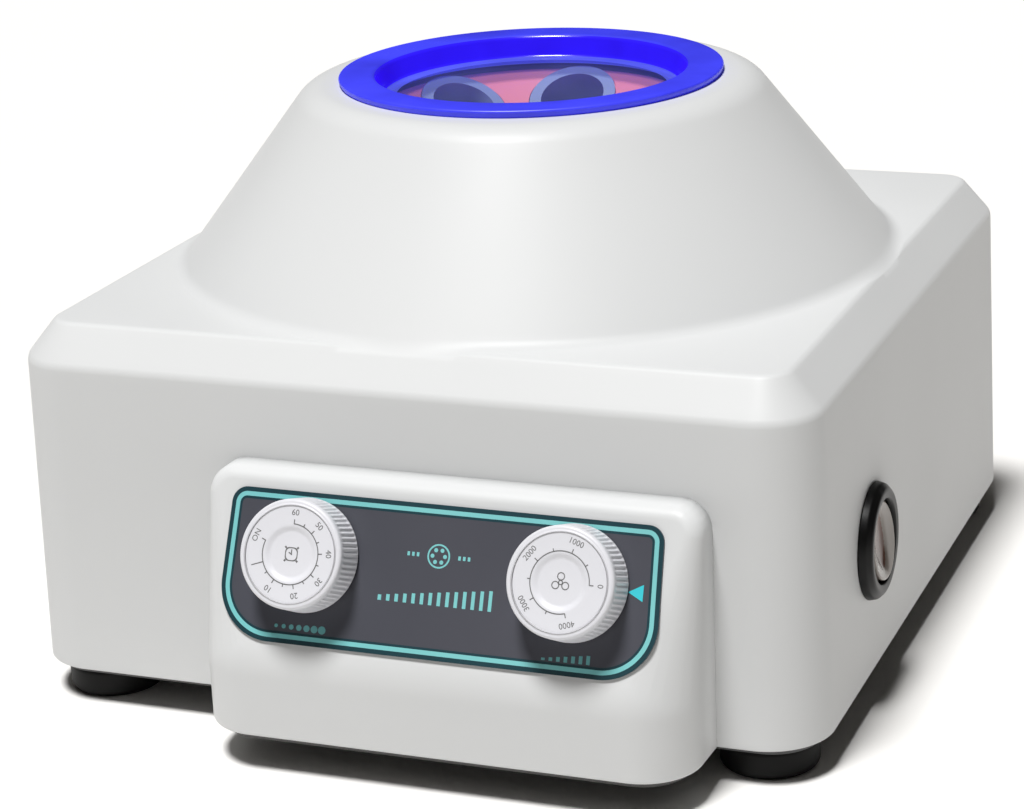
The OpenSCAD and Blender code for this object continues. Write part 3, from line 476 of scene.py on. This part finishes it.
def reach_of(angle, inset):
    """Distance from the spin axis to the housing's outline, drawn in by inset, in a direction."""
    c, d = math.cos(angle), math.sin(angle)
    half_x, half_y = BODY_W / 2 - inset, BODY_D / 2 - inset
    r = max(CORNER_R - inset, 1.0)
    out = half_x / max(abs(c), 1e-9)
    out = min(out, (math.copysign(half_y, d) - AXIS_BACK) / d if abs(d) > 1e-9 else out)
    x, y = out * c, AXIS_BACK + out * d
    if abs(x) > half_x - r and abs(y) > half_y - r:
        fx, fy = math.copysign(half_x - r, x), math.copysign(half_y - r, y) - AXIS_BACK
        along = fx * c + fy * d
        out = along + math.sqrt(max(r * r - (fx * fx + fy * fy - along * along), 0))
    return out


def wall_profile():
    """Inset and height up the walls, over the chamfer and on to the deck."""
    turn_in, deck_start = 1.2, 4
    corners = [(turn_in - DRAFT, EDGE_Z), (-DRAFT, EDGE_Z), (0, WALL_Z), (CHAMFER_IN, DECK_Z),
               (CHAMFER_IN + deck_start, DECK_Z)]
    return split(rounded(corners, [FOOT_EDGE_R, WALL_EDGE_R, DECK_EDGE_R], 10), WALL_ROW)


def cone_point(z, along):
    """The point of the cone's side this far along from where the cone leaves the wall, at height z."""
    up = min(along, DECK_Z - z)
    rest = (along - up) / math.hypot(1, CONE_SLOPE)
    return (CONE_BASE_R - rest, z + up + rest * CONE_SLOPE)


def section(angle, wall):
    """Distance and height of one upright section: the wall, a soft join, and the start of the cone."""
    path = [(reach_of(angle, inset), z) for inset, z in wall] + [(CONE_BASE_R - 1, DECK_Z)]
    k = next(n for n in range(1, len(path)) if path[n][0] <= CONE_BASE_R)
    (r, z), (next_r, next_z) = path[k - 1], path[k]
    meet = (CONE_BASE_R, z + (next_z - z) * (r - CONE_BASE_R) / (r - next_r))
    left, here = JOIN_R, meet
    for n in range(k - 1, -1, -1):
        step = math.dist(here, path[n])
        if step >= left:
            begin = between(here, path[n], left / step)
            break
        left -= step
        here = path[n]
    kept = path[: n + 1]
    kept += [begin] * (len(wall) - len(kept))
    last = kept[-1]
    kept += [between(last, begin, m / LEAD_STEPS) for m in range(1, LEAD_STEPS + 1)]
    end = cone_point(meet[1], JOIN_R)
    for m in range(1, JOIN_STEPS + 1):
        t = m / JOIN_STEPS
        kept.append(tuple((1 - t) ** 2 * a + 2 * t * (1 - t) * b + t * t * c
                          for a, b, c in zip(begin, meet, end)))
    return kept


def housing():
    """Points and faces of the shell, with the faces behind the wall's fittings left out."""
    angles = directions()
    wall = wall_profile()
    columns = []
    for a in angles:
        inside = reach_of(a, SHELL_T - DRAFT)
        columns.append([(inside, EDGE_Z + SKIRT_H), (inside, EDGE_Z)] + section(a, wall))
    start = (CONE_BASE_R - CONE_START / CONE_SLOPE, DECK_Z + CONE_START)
    lip = 8
    profile = rounded([start, (CONE_TOP_R, TOP_Z), (MOUTH_R, TOP_Z), (MOUTH_R, TOP_Z - SHELL_T),
                       (MOUTH_R + lip, TOP_Z - SHELL_T)], [SHOULDER_R, 1.0, 0.3], 14)
    levels = list(zip(*columns)) + [[level] * len(angles) for level in split(profile, CONE_ROW)]
    rows = [[(r * math.cos(a), AXIS_BACK + r * math.sin(a), z) for a, (r, z) in zip(angles, level)]
            for level in levels]
    points, faces = grid(rows)
    openings = wall_openings()
    kept = [f for f in faces if not any(all(within(*points[i]) for i in f) for within in openings)]
    return points, kept


def wall_openings():
    """Tests for the points behind the switch, the inlet and the fuse holder, whose flanges cover the cuts."""
    switch_z = EDGE_Z + SWITCH_UP
    rear_z = EDGE_Z + REAR_UP
    right, rear = BODY_W / 2 - 1, BODY_D / 2 - 1
    return (
        lambda x, y, z: x > right and math.hypot(y + SWITCH_FORE, z - switch_z) < SWITCH_CUT_R,
        lambda x, y, z: y > rear and abs(x + INLET_LEFT) < INLET_CUT_X and abs(z - rear_z) < INLET_CUT_Z,
        lambda x, y, z: y > rear and math.hypot(x + FUSE_LEFT, z - rear_z) < FUSE_CUT_R,
    )


def ball(centre, r, steps=24):
    """Points of a sphere, for a hull."""
    out = []
    for i in range(steps + 1):
        lat = math.pi * i / steps - math.pi / 2
        flat, z = r * math.cos(lat), centre[2] + r * math.sin(lat)
        for j in range(2 * steps):
            lon = TAU * j / (2 * steps)
            out.append((centre[0] + flat * math.cos(lon), centre[1] + flat * math.sin(lon), z))
    return out


def hull_piece(name, points, matrix, material, body):
    """A piece from the convex hull of points, with its flat areas in one face each."""
    made = bmesh.new()
    for p in points:
        made.verts.new(p)
    bmesh.ops.convex_hull(made, input=made.verts)
    loose = [v for v in made.verts if not v.link_faces]
    bmesh.ops.delete(made, geom=loose, context="VERTS")
    bmesh.ops.dissolve_limit(made, angle_limit=math.radians(0.2), verts=made.verts, edges=made.edges)
    made.normal_update()
    verts = [tuple(v.co) for v in made.verts]
    made.verts.index_update()
    faces = [tuple(v.index for v in f.verts) for f in made.faces]
    made.free()
    return piece(name, verts, faces, matrix, material, body, weigh=True)


CONSOLE_EDGE = 1.2
KNEE_R = 26.0


def console():
    """Points whose hull is the console: a base with round corners, a soft knee and a rounded upper edge."""
    half = CONSOLE_W / 2
    ledge_z = EDGE_Z + CONSOLE_H - LEDGE_R
    ledge_y = FRONT_Y + (ledge_z - KNEE_Z) * math.tan(PANEL_TILT) + LEDGE_R / math.cos(PANEL_TILT)
    wall_y = -BODY_D / 2 + SHELL_T
    bend_z = KNEE_Z - KNEE_R * math.tan(PANEL_TILT / 2)
    levels = [(CONSOLE_R - share * CONSOLE_EDGE, EDGE_Z + rise * CONSOLE_EDGE)
              for share, rise in ((1, 0), (0.3, 0.3), (0, 1))]
    # The knee turns the front from upright to the panel's lean on a soft round
    for lean in (PANEL_TILT * n / 8 for n in range(9)):
        levels.append((CONSOLE_R - KNEE_R * (1 - math.cos(lean)), bend_z + KNEE_R * math.sin(lean)))
    points = []
    for s in (-1, 1):
        cx = CONSOLE_RIGHT + s * (half - CONSOLE_R)
        cy = FRONT_Y + CONSOLE_R
        for a in range(0, 361, 6):
            c, d = math.cos(math.radians(a)), math.sin(math.radians(a))
            points += [(cx + r * c, cy + r * d, z) for r, z in levels]
        for x, up in arc(0, 0, UPPER_R - LEDGE_R, 0, 90, 6):
            drop = up - (UPPER_R - LEDGE_R)
            side = CONSOLE_RIGHT + s * (half - UPPER_R + x)
            edge = (side, ledge_y + drop * math.sin(PANEL_TILT), ledge_z + drop * math.cos(PANEL_TILT))
            points += ball(edge, LEDGE_R)
            points += [(side + b, wall_y, ledge_z + drop + e) for b, e in arc(0, 0, LEDGE_R, 0, 360, 36)]
        points.append((CONSOLE_RIGHT + s * half, wall_y, EDGE_Z))
    return points


shell_points, shell_faces = housing()
shell = piece("housing_skin", shell_points, shell_faces, place(), WHITE, "base")
front = hull_piece("console_skin", console(), place(), WHITE, "base")
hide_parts("housing")
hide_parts("housing")


# Printed matter on the dark plate


def plate_point(inset, a):
    """Where the plate's outline, drawn in by inset, faces direction a: the furthest of its corner rounds."""
    top_x = PLATE_W / 2 - PLATE_TOP_R - PLATE_TAPER
    circles = [(s * top_x, PLATE_H - PLATE_TOP_R, PLATE_TOP_R) for s in (-1, 1)]
    circles += [(s * (PLATE_W / 2 - PLATE_LOW_R), PLATE_LOW_R, PLATE_LOW_R) for s in (-1, 1)]
    c, d = math.cos(a), math.sin(a)
    x, y, r = max(circles, key=lambda k: k[0] * c + k[1] * d + k[2])
    return (x + (r - inset) * c, y + (r - inset) * d)


def plate_line(name, outer, inner, height, material):
    """A printed line along the plate's outline, between two insets."""
    steps = 240
    rows = []
    for inset, z in ((outer, 0), (outer, height), (inner, height), (inner, 0)):
        rows.append([plate_point(inset, TAU * n / steps) + (PLATE_T + z,) for n in range(steps)])
    rows.append(rows[0])
    points, faces = grid(rows)
    return piece(name, points, faces, on_panel(0, PLATE_UP), material, "base", smooth=False)


PRINT_T = 0.05
plate_line("plate_border", 0.02, 3.5, PRINT_T * 0.5, TEAL)
plate_line("plate_line", 1.4, 2.75, PRINT_T, CYAN)


def prism(outline, height):
    """Points and faces of a flat outline with a little thickness."""
    count = len(outline)
    points = [(x, y, 0) for x, y in outline] + [(x, y, height) for x, y in outline]
    faces = [tuple(range(count - 1, -1, -1)), tuple(range(count, 2 * count))]
    faces += [(n, (n + 1) % count, count + (n + 1) % count, count + n) for n in range(count)]
    return points, faces


def together(parts):
    """One list of points and faces from several."""
    points, faces = [], []
    for more_points, more_faces in parts:
        start = len(points)
        points += more_points
        faces += [tuple(i + start for i in f) for f in more_faces]
    return points, faces


def bar(x, y, w, h, height=PRINT_T):
    """An upright bar, from the middle of its foot."""
    return prism([(x - w / 2, y), (x + w / 2, y), (x + w / 2, y + h), (x - w / 2, y + h)], height)


def washer(cx, cy, outer, inner, start=0.0, end=360.0, height=PRINT_T, steps=48):
    """A flat ring or a stretch of one; angles run anticlockwise from the right."""
    closed = abs(end - start) >= 360
    rows = []
    for r, z in ((outer, 0), (outer, height), (inner, height), (inner, 0), (outer, 0)):
        rows.append([p + (z,) for p in arc(cx, cy, r, start, end, steps)][: steps if closed else steps + 1])
    points, faces = grid(rows, closed)
    if not closed:
        width = steps + 1
        faces.append((0, width, 2 * width, 3 * width))
        faces.append(tuple(k * width + steps for k in (3, 2, 1, 0)))
    return points, faces


def disc(cx, cy, r, height=PRINT_T, steps=24):
    """A printed dot."""
    return prism(arc(cx, cy, r, 0, 360 - 360 / steps, steps - 1), height)


PLACES = 6
DIAGRAM_UP = 37.0
PLACE_R = 2.0
DASH_UP = 36.4
DASH_PITCH = 1.5
SCALE_BARS = 14
SCALE_W = 35.0
SCALE_UP = 22.5
ROW_UP = 11.6
ROW_COUNT = 7


def plate_marks():
    """A six-place rotor diagram over a rising scale, where the printed words would be."""
    parts = [washer(0, DIAGRAM_UP, 3.6, 3.1)]
    for a in (TAU * n / PLACES for n in range(PLACES)):
        parts.append(disc(PLACE_R * math.cos(a), DIAGRAM_UP + PLACE_R * math.sin(a), 0.62))
    for first in (-9.6, 6.6):
        parts += [bar(first + DASH_PITCH * n, DASH_UP, 0.8, 1.2) for n in range(3)]
    for t in (n / (SCALE_BARS - 1) for n in range(SCALE_BARS)):
        parts.append(bar(SCALE_W * (t - 0.5), SCALE_UP, 1.1, 1.6 + 4.4 * t))
    return parts


def dot_row(x):
    """A short row of growing dots under the timer's dial."""
    return [disc(x + (n - 3) * 2.5, 0, 0.55 + 0.11 * n) for n in range(ROW_COUNT)]


def bar_row(x):
    """A short row of rising bars under the speed's dial."""
    return [bar(x + (n - 3) * 2.3, -1.2, 1.1, 0.7 + 0.32 * n) for n in range(ROW_COUNT)]


def plate_print(name, parts, material, up=0.0):
    """Print on the plate, this far up the panel."""
    points, faces = together(parts)
    matrix = on_panel(0, 0) @ Matrix.Translation((0, up, PLATE_T))
    return piece(name, points, faces, matrix, material, "base", smooth=False)


plate_print("plate_marks", plate_marks(), CYAN)
# The rows under the knobs use the cyan darkened by painted shade, standing for the knobs' shadow
plate_print("dial_marks", dot_row(-KNOB_GAP / 2) + bar_row(KNOB_GAP / 2), CYAN_IN_PAINTED_SHADE, ROW_UP)
plate_print("speed_pointer", [prism([(59.3, 32.4), (63.9, 30.0), (63.9, 34.9)], PRINT_T)], CYAN_DEEP)


# Knobs

RIBS = 66
RIB_ROWS = 10
RIB_DEPTH = 0.42
RIB_POWER = 0.8
KNOB_FOOT = PLATE_T + KNOB_LIFT
KNOB_TOP = KNOB_FOOT + KNOB_H
LINE_R = 9.0
DISH_R = 6.4
DISH_D = 0.8


def knob():
    """Ribs round the side, a rolled rim, a flat dial ring and a shallow dish."""
    rim = KNOB_FACE_R
    foot, shoulder = (KNOB_R, KNOB_FOOT + 0.4), (rim + 0.25, KNOB_TOP - 2.6)
    base = [(KNOB_R - 3, KNOB_FOOT), (KNOB_R - 0.5, KNOB_FOOT), foot]
    side = [between(foot, shoulder, (n + 0.5) / RIB_ROWS) for n in range(RIB_ROWS)]
    top = rounded([(rim + 0.2, KNOB_TOP - 2.4), (rim, KNOB_TOP), (rim - 2.0, KNOB_TOP - 0.15)], [1.3], 8)
    top += [(rim - 1.5, KNOB_TOP - 0.1), (rim - 1.9, KNOB_TOP - 0.33), (rim - 2.3, KNOB_TOP - 0.38),
            (LINE_R + 0.4, KNOB_TOP - 0.42)]
    for t in (n / 8 for n in range(9)):
        ease = t * t * (3 - 2 * t)
        top.append((LINE_R - 0.3 + (DISH_R - LINE_R + 0.3) * t, KNOB_TOP - 0.44 - DISH_D * ease))
    top += [(DISH_R / 2, KNOB_TOP - 0.5 - DISH_D), (0.4, KNOB_TOP - 0.52 - DISH_D)]
    columns = RIBS * 8
    angles = [TAU * c / columns for c in range(columns)]
    waves = [(0.5 - 0.5 * math.cos(RIBS * a)) ** RIB_POWER for a in angles]
    rows = []
    for profile, depth in ((base, 0), (side, RIB_DEPTH), (top, 0)):
        for r, z in profile:
            rows.append([((r - depth * w) * math.cos(a), (r - depth * w) * math.sin(a), z)
                         for a, w in zip(angles, waves)])
    points, faces = grid(rows)
    return points, faces + end_caps(points, columns)[1:]


def dial_angle(clock):
    """Anticlockwise degrees from the right, from clockwise degrees from the top."""
    return 90 - clock


def tick(clock, inner, outer, width):
    """A printed stroke along a dial's radius."""
    a = math.radians(dial_angle(clock))
    along = Vector((math.cos(a), math.sin(a)))
    across = Vector((-along.y, along.x)) * width / 2
    corners = [along * inner - across, along * outer - across, along * outer + across, along * inner + across]
    return prism([tuple(p) for p in corners], PRINT_T)


def word(text, clock, radius, size):
    """A number or ON, as a thin mesh on a dial with its top outwards."""
    curve = bpy.data.curves.new("word", "FONT")
    curve.body = text
    curve.size = size
    curve.align_x = "CENTER"
    curve.align_y = "CENTER"
    curve.extrude = PRINT_T / 2
    curve.resolution_u = 4
    helper = bpy.data.objects.new("word", curve)
    mesh = bpy.data.meshes.new_from_object(helper)
    turn = Matrix.Rotation(math.radians(-clock), 4, "Z")
    mesh.transform(turn @ Matrix.Translation((0, radius, PRINT_T / 2)))
    out = [tuple(v.co) for v in mesh.vertices], [tuple(p.vertices) for p in mesh.polygons]
    bpy.data.objects.remove(helper)
    bpy.data.curves.remove(curve)
    bpy.data.meshes.remove(mesh)
    return out


NUMBER_R = 12.3
TIMER_SIZE = 2.5
SPEED_SIZE = 2.45
TICK_END = 10.3
SHORT_END = TICK_END - 0.4
ZERO_END = TICK_END + 2.6
LINE_W = 0.28
TIMER_TOP = 2.0
TIMER_STEP = 4.14
SPEED_TOP = 4000
SPEED_STEP = 71.5
HOLD_ANGLE = 292.0
ICON_CORNER_R = 1.3
HAND_W = 0.32


def dial_line(start, end):
    """The printed arc that a dial's strokes stand on."""
    return washer(0, 0, LINE_R + LINE_W / 2, LINE_R - LINE_W / 2, dial_angle(start), dial_angle(end), steps=90)


def timer_print():
    """Minutes up to sixty, and the place for running without end."""
    parts = []
    for minutes in range(0, 61, 5):
        clock = TIMER_TOP + (60 - minutes) * TIMER_STEP
        tens = minutes % 10 == 0
        end = ZERO_END if minutes == 0 else TICK_END if tens else SHORT_END
        parts.append(tick(clock, LINE_R, end, LINE_W))
        if tens and minutes:
            parts.append(word(str(minutes), clock, NUMBER_R, TIMER_SIZE))
    parts.append(tick(HOLD_ANGLE, LINE_R, TICK_END, LINE_W))
    parts.append(word("ON", HOLD_ANGLE, NUMBER_R, TIMER_SIZE))
    parts.append(dial_line(HOLD_ANGLE, TIMER_TOP))
    return together(parts)


def speed_print():
    """Turns a minute, from the pointer's side backwards round the dial."""
    parts = []
    for speed in range(0, SPEED_TOP + 1, 500):
        clock = 90 - speed / 1000 * SPEED_STEP
        whole = speed % 1000 == 0
        parts.append(tick(clock, LINE_R, TICK_END if whole else SHORT_END, LINE_W))
        if whole:
            parts.append(word(str(speed), clock, NUMBER_R, SPEED_SIZE))
    parts.append(dial_line(90, 90 - SPEED_TOP / 1000 * SPEED_STEP))
    return together(parts)


def clock_icon():
    """Two hands in a rounded square with an ear at each corner."""
    outlines = []
    for half in (2.05, 1.75):
        reach = half - ICON_CORNER_R
        outlines.append([p for k, (sx, sy) in enumerate(((1, 1), (-1, 1), (-1, -1), (1, -1)))
                         for p in arc(sx * reach, sy * reach, ICON_CORNER_R, 90 * k, 90 * k + 90, 6)])
    outer, inner = outlines
    levels = ((outer, 0), (outer, PRINT_T), (inner, PRINT_T), (inner, 0), (outer, 0))
    square = grid([[p + (z,) for p in line] for line, z in levels])
    hands = [tick(0, -0.2, 1.4, HAND_W), tick(-60, -0.2, 1.0, HAND_W)]
    ears = [tick(a, 2.45, 3.1, 0.55) for a in (45, 135, 225, 315)]
    return together([square] + hands + ears)


def rotor_icon():
    """Three rings round a hub."""
    parts = [washer(0, 0, 0.75, 0.45, steps=24)]
    for a in (math.radians(90 + 120 * n) for n in range(3)):
        parts.append(washer(1.75 * math.cos(a), 1.75 * math.sin(a), 1.2, 0.9, steps=24))
    return together(parts)


def make_knob(name, x, body, dial, icon):
    """A knob's cap, the print on its dial and the sign in its dish, all on the knob's body."""
    matrix = on_panel(x, KNOB_UP)
    points, faces = knob()
    cap = piece(name + "_cap", points, faces, matrix, KNOB_WHITE, body)
    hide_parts(name)
    for part, mark, down in (("_print", dial, 0.41), ("_icon", icon, 0.515 + DISH_D)):
        points, faces = mark()
        raised = matrix @ Matrix.Translation((0, 0, KNOB_TOP - down))
        piece(name + part, points, faces, raised, INK, body, smooth=False)


make_knob("timer_knob", -KNOB_GAP / 2, "timer", timer_print, clock_icon)
make_knob("speed_knob", KNOB_GAP / 2, "speed", speed_print, rotor_icon)


# The lid: a rounded ring, a sloping wall and a thin clear floor

FLOOR_CLEAR_R = 45.0
LID_COLUMNS = 192
LID_PAINTS = [LID_RING, LID_WALL, LID_FLOOR, LID_BAND]


def lid():
    """Points, faces and each face's paint: ring, wall, the clear floor and the darker band round it."""
    floor_z = LID_Z - LID_DISH_D
    spigot_r = MOUTH_R - LID_GAP
    spigot_z = TOP_Z - SPIGOT_D
    middle_r = 0.5
    outline = [(middle_r, floor_z), (FLOOR_CLEAR_R, floor_z), (LID_FLOOR_R, floor_z), (LID_DISH_R, LID_Z),
               (LID_R, LID_Z), (LID_R - 1.2, TOP_Z), (spigot_r, TOP_Z), (spigot_r, spigot_z),
               (spigot_r - LID_T, spigot_z), (LID_FLOOR_R + LID_T, floor_z - LID_T / 2),
               (LID_FLOOR_R, floor_z - LID_T), (middle_r, floor_z - LID_T)]
    profile = rounded(outline, [0, 1.8, 2.2, 2.0, 0.4, 0.4, 0.5, 0.5, 0.6, 0.8], 6)
    points, faces = lathe(profile, LID_COLUMNS)
    faces += end_caps(points, LID_COLUMNS)
    paints = []
    for f in faces:
        middle = middle_of(points, f)
        reach = math.hypot(middle.x, middle.y)
        if reach < FLOOR_CLEAR_R:
            paint = LID_FLOOR
        # The band is partly painted light: a more opaque, emissive ring over the floor's outer edge that covers
        # the shade seen through the floor there
        elif middle.z < floor_z + 0.4 and reach < spigot_r - 0.5:
            paint = LID_BAND
        else:
            paint = LID_WALL if reach < LID_DISH_R + 0.5 else LID_RING
        paints.append(LID_PAINTS.index(paint))
    return points, faces, paints


points, faces, paints = lid()
matrix = Matrix.Translation(AXIS * MM) @ Matrix.Scale(MM, 4)
cover = piece("lid_cover", points, faces, matrix, LID_PAINTS, "lid", paints=paints)
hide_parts("lid")


# The round power switch

BARREL_R = 15.6
BARREL_D = 22.0
WINDOW_D = 18.0
LENS_A = 9.0
LENS_B = 5.0
LENS_D = 1.1
BUTTON_DISH_D = 1.5
BUTTON_COLUMNS = 120
BUTTON_RINGS = 40


def switch_rim():
    """A thick ring with a coned flank and a rounded lip round a deep window."""
    outline = [(SWITCH_RIM_R - 1.5, 0), (SWITCH_RIM_R, 0), (SWITCH_RIM_R - 0.6, 2.6),
               (SWITCH_RIM_R - 2.4, SWITCH_RIM_H), (SWITCH_WINDOW_R + 0.3, SWITCH_RIM_H - 0.3),
               (SWITCH_WINDOW_R, SWITCH_RIM_H - 1.6), (SWITCH_WINDOW_R, -WINDOW_D)]
    return lathe(rounded(outline, [0.4, 1.6, 1.8, 0.8, 0.6], 6), 120)


def barrel():
    """The switch's body behind the wall."""
    return lathe([(BARREL_R, 0), (BARREL_R, -BARREL_D), (0.5, -BARREL_D)], 96)


points, faces = together([switch_rim(), barrel()])
rim = piece("switch_ring", points, faces, on_right_wall(), BLACK, "base")
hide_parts("switch_rim")


def lens_share(x, y):
    """0 in the middle of the oval lens, 1 on its edge."""
    return math.hypot(x / LENS_A, y / LENS_B)


def rocker():
    """A clear smoky button with a shallow dish and a darker oval lens sunk in it."""
    top = ROCKER_L / 2
    angles = [TAU * c / BUTTON_COLUMNS for c in range(BUTTON_COLUMNS)]
    rows = [[(ROCKER_R * math.cos(a), ROCKER_R * math.sin(a), z) for a in angles] for z in (-top, top - 0.9)]
    for n in range(BUTTON_RINGS, -1, -1):
        t = 0.02 + 0.98 * n / BUTTON_RINGS
        row = []
        for a in angles:
            x, y = ROCKER_R * t * math.cos(a), ROCKER_R * t * math.sin(a)
            sink = BUTTON_DISH_D * (1 - t * t) + LENS_D / (1 + math.exp(9 * (lens_share(x, y) - 1)))
            edge = 0.5 * max(0.0, (t - 0.95) / 0.05) ** 2
            row.append((x, y, top - sink - edge))
        rows.append(row)
    points, faces = grid(rows)
    faces += end_caps(points, BUTTON_COLUMNS)
    middles = [middle_of(points, f) for f in faces]
    return points, faces, [1 if m.z > 0 and lens_share(m.x, m.y) < 1.0 else 0 for m in middles]


points, faces, paints = rocker()
matrix = on_right_wall(SWITCH_RIM_H - ROCKER_IN - ROCKER_L / 2) @ Matrix.Rotation(-ROCKER_THROW / 2, 4, "Y")
button = piece("rocker_button", points, faces, matrix, [SMOKE, RUST], "rocker",
               paints=paints)
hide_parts("switch_rocker")


# Studio: a pale floor and sky, one soft light, and the photograph's camera

FLOOR_REACH = 30.0
SKY = 0.03
SKY_COLOUR = (1, 0.93, 0.86, 1)
SUN = 3.95
SUN_SPREAD = math.radians(14)
SUN_HIGH = math.radians(74)
SUN_SIDE = math.radians(14)


def studio():
    """A plain pale floor under a faint sky."""
    mesh = bpy.data.meshes.new("floor")
    corners = [(x * FLOOR_REACH, y * FLOOR_REACH, 0) for x, y in ((-1, -1), (1, -1), (1, 1), (-1, 1))]
    mesh.from_pydata(corners, [], [(0, 1, 2, 3)])
    floor = bpy.data.objects.new("floor", mesh)
    bpy.context.scene.collection.objects.link(floor)
    paint = Paint("studio_floor")
    drift = paint.ramp(paint.noise(scale=3), 0, 1)
    paint.link(paint.mix(drift, grey(0.87, WARM_WHITE), grey(0.86, WARM_WHITE)), "Base Color")
    paint.set(Roughness=0.9)
    mesh.materials.append(paint.material)
    world = bpy.data.worlds.new("studio")
    world.use_nodes = True
    background = world.node_tree.nodes["Background"]
    background.inputs["Color"].default_value = SKY_COLOUR
    background.inputs["Strength"].default_value = SKY
    bpy.context.scene.world = world


def soft_sun():
    """One broad pale light from the front, high up and a little to the left."""
    data = bpy.data.lights.new("soft_sun", "SUN")
    data.energy = SUN
    data.angle = SUN_SPREAD
    light = bpy.data.objects.new("soft_sun", data)
    level = math.cos(SUN_HIGH)
    source = Vector((-level * math.sin(SUN_SIDE), -level * math.cos(SUN_SIDE), math.sin(SUN_HIGH)))
    light.rotation_euler = source.to_track_quat("Z", "Y").to_euler()
    bpy.context.scene.collection.objects.link(light)


studio()
soft_sun()

# The photograph is a crop of a larger frame, so its principal point is off the middle
IMAGE_W = 1024
IMAGE_H = 809
SENSOR = 36.0
FOCAL_PX = 2888.55
CENTRE_PX = (578.17, 343.76)
AZIMUTH = math.radians(20.829)
ELEVATION = math.radians(17.720)
ROLL = math.radians(-2.321)
EYE = Vector((343.42, -867.51, 387.20))


def camera():
    """The photograph's view, with its eye given from the middle of the housing."""
    data = bpy.data.cameras.new("camera")
    data.sensor_width = SENSOR
    data.sensor_fit = "HORIZONTAL"
    data.lens = FOCAL_PX * SENSOR / IMAGE_W
    data.shift_x = (IMAGE_W / 2 - CENTRE_PX[0]) / IMAGE_W
    data.shift_y = (CENTRE_PX[1] - IMAGE_H / 2) / IMAGE_W
    out = math.cos(ELEVATION)
    back = Vector((math.sin(AZIMUTH) * out, -math.cos(AZIMUTH) * out, math.sin(ELEVATION)))
    level = Vector((math.cos(AZIMUTH), math.sin(AZIMUTH), 0))
    above = back.cross(level)
    right = level * math.cos(ROLL) + above * math.sin(ROLL)
    up = above * math.cos(ROLL) - level * math.sin(ROLL)
    turn = Matrix((right, up, back)).transposed()
    thing = bpy.data.objects.new("camera", data)
    thing.matrix_world = Matrix.Translation((EYE + SHIFT) * MM) @ turn.to_4x4()
    bpy.context.scene.collection.objects.link(thing)
    bpy.context.scene.camera = thing


camera()
bpy.context.scene.view_settings.view_transform = "Standard"
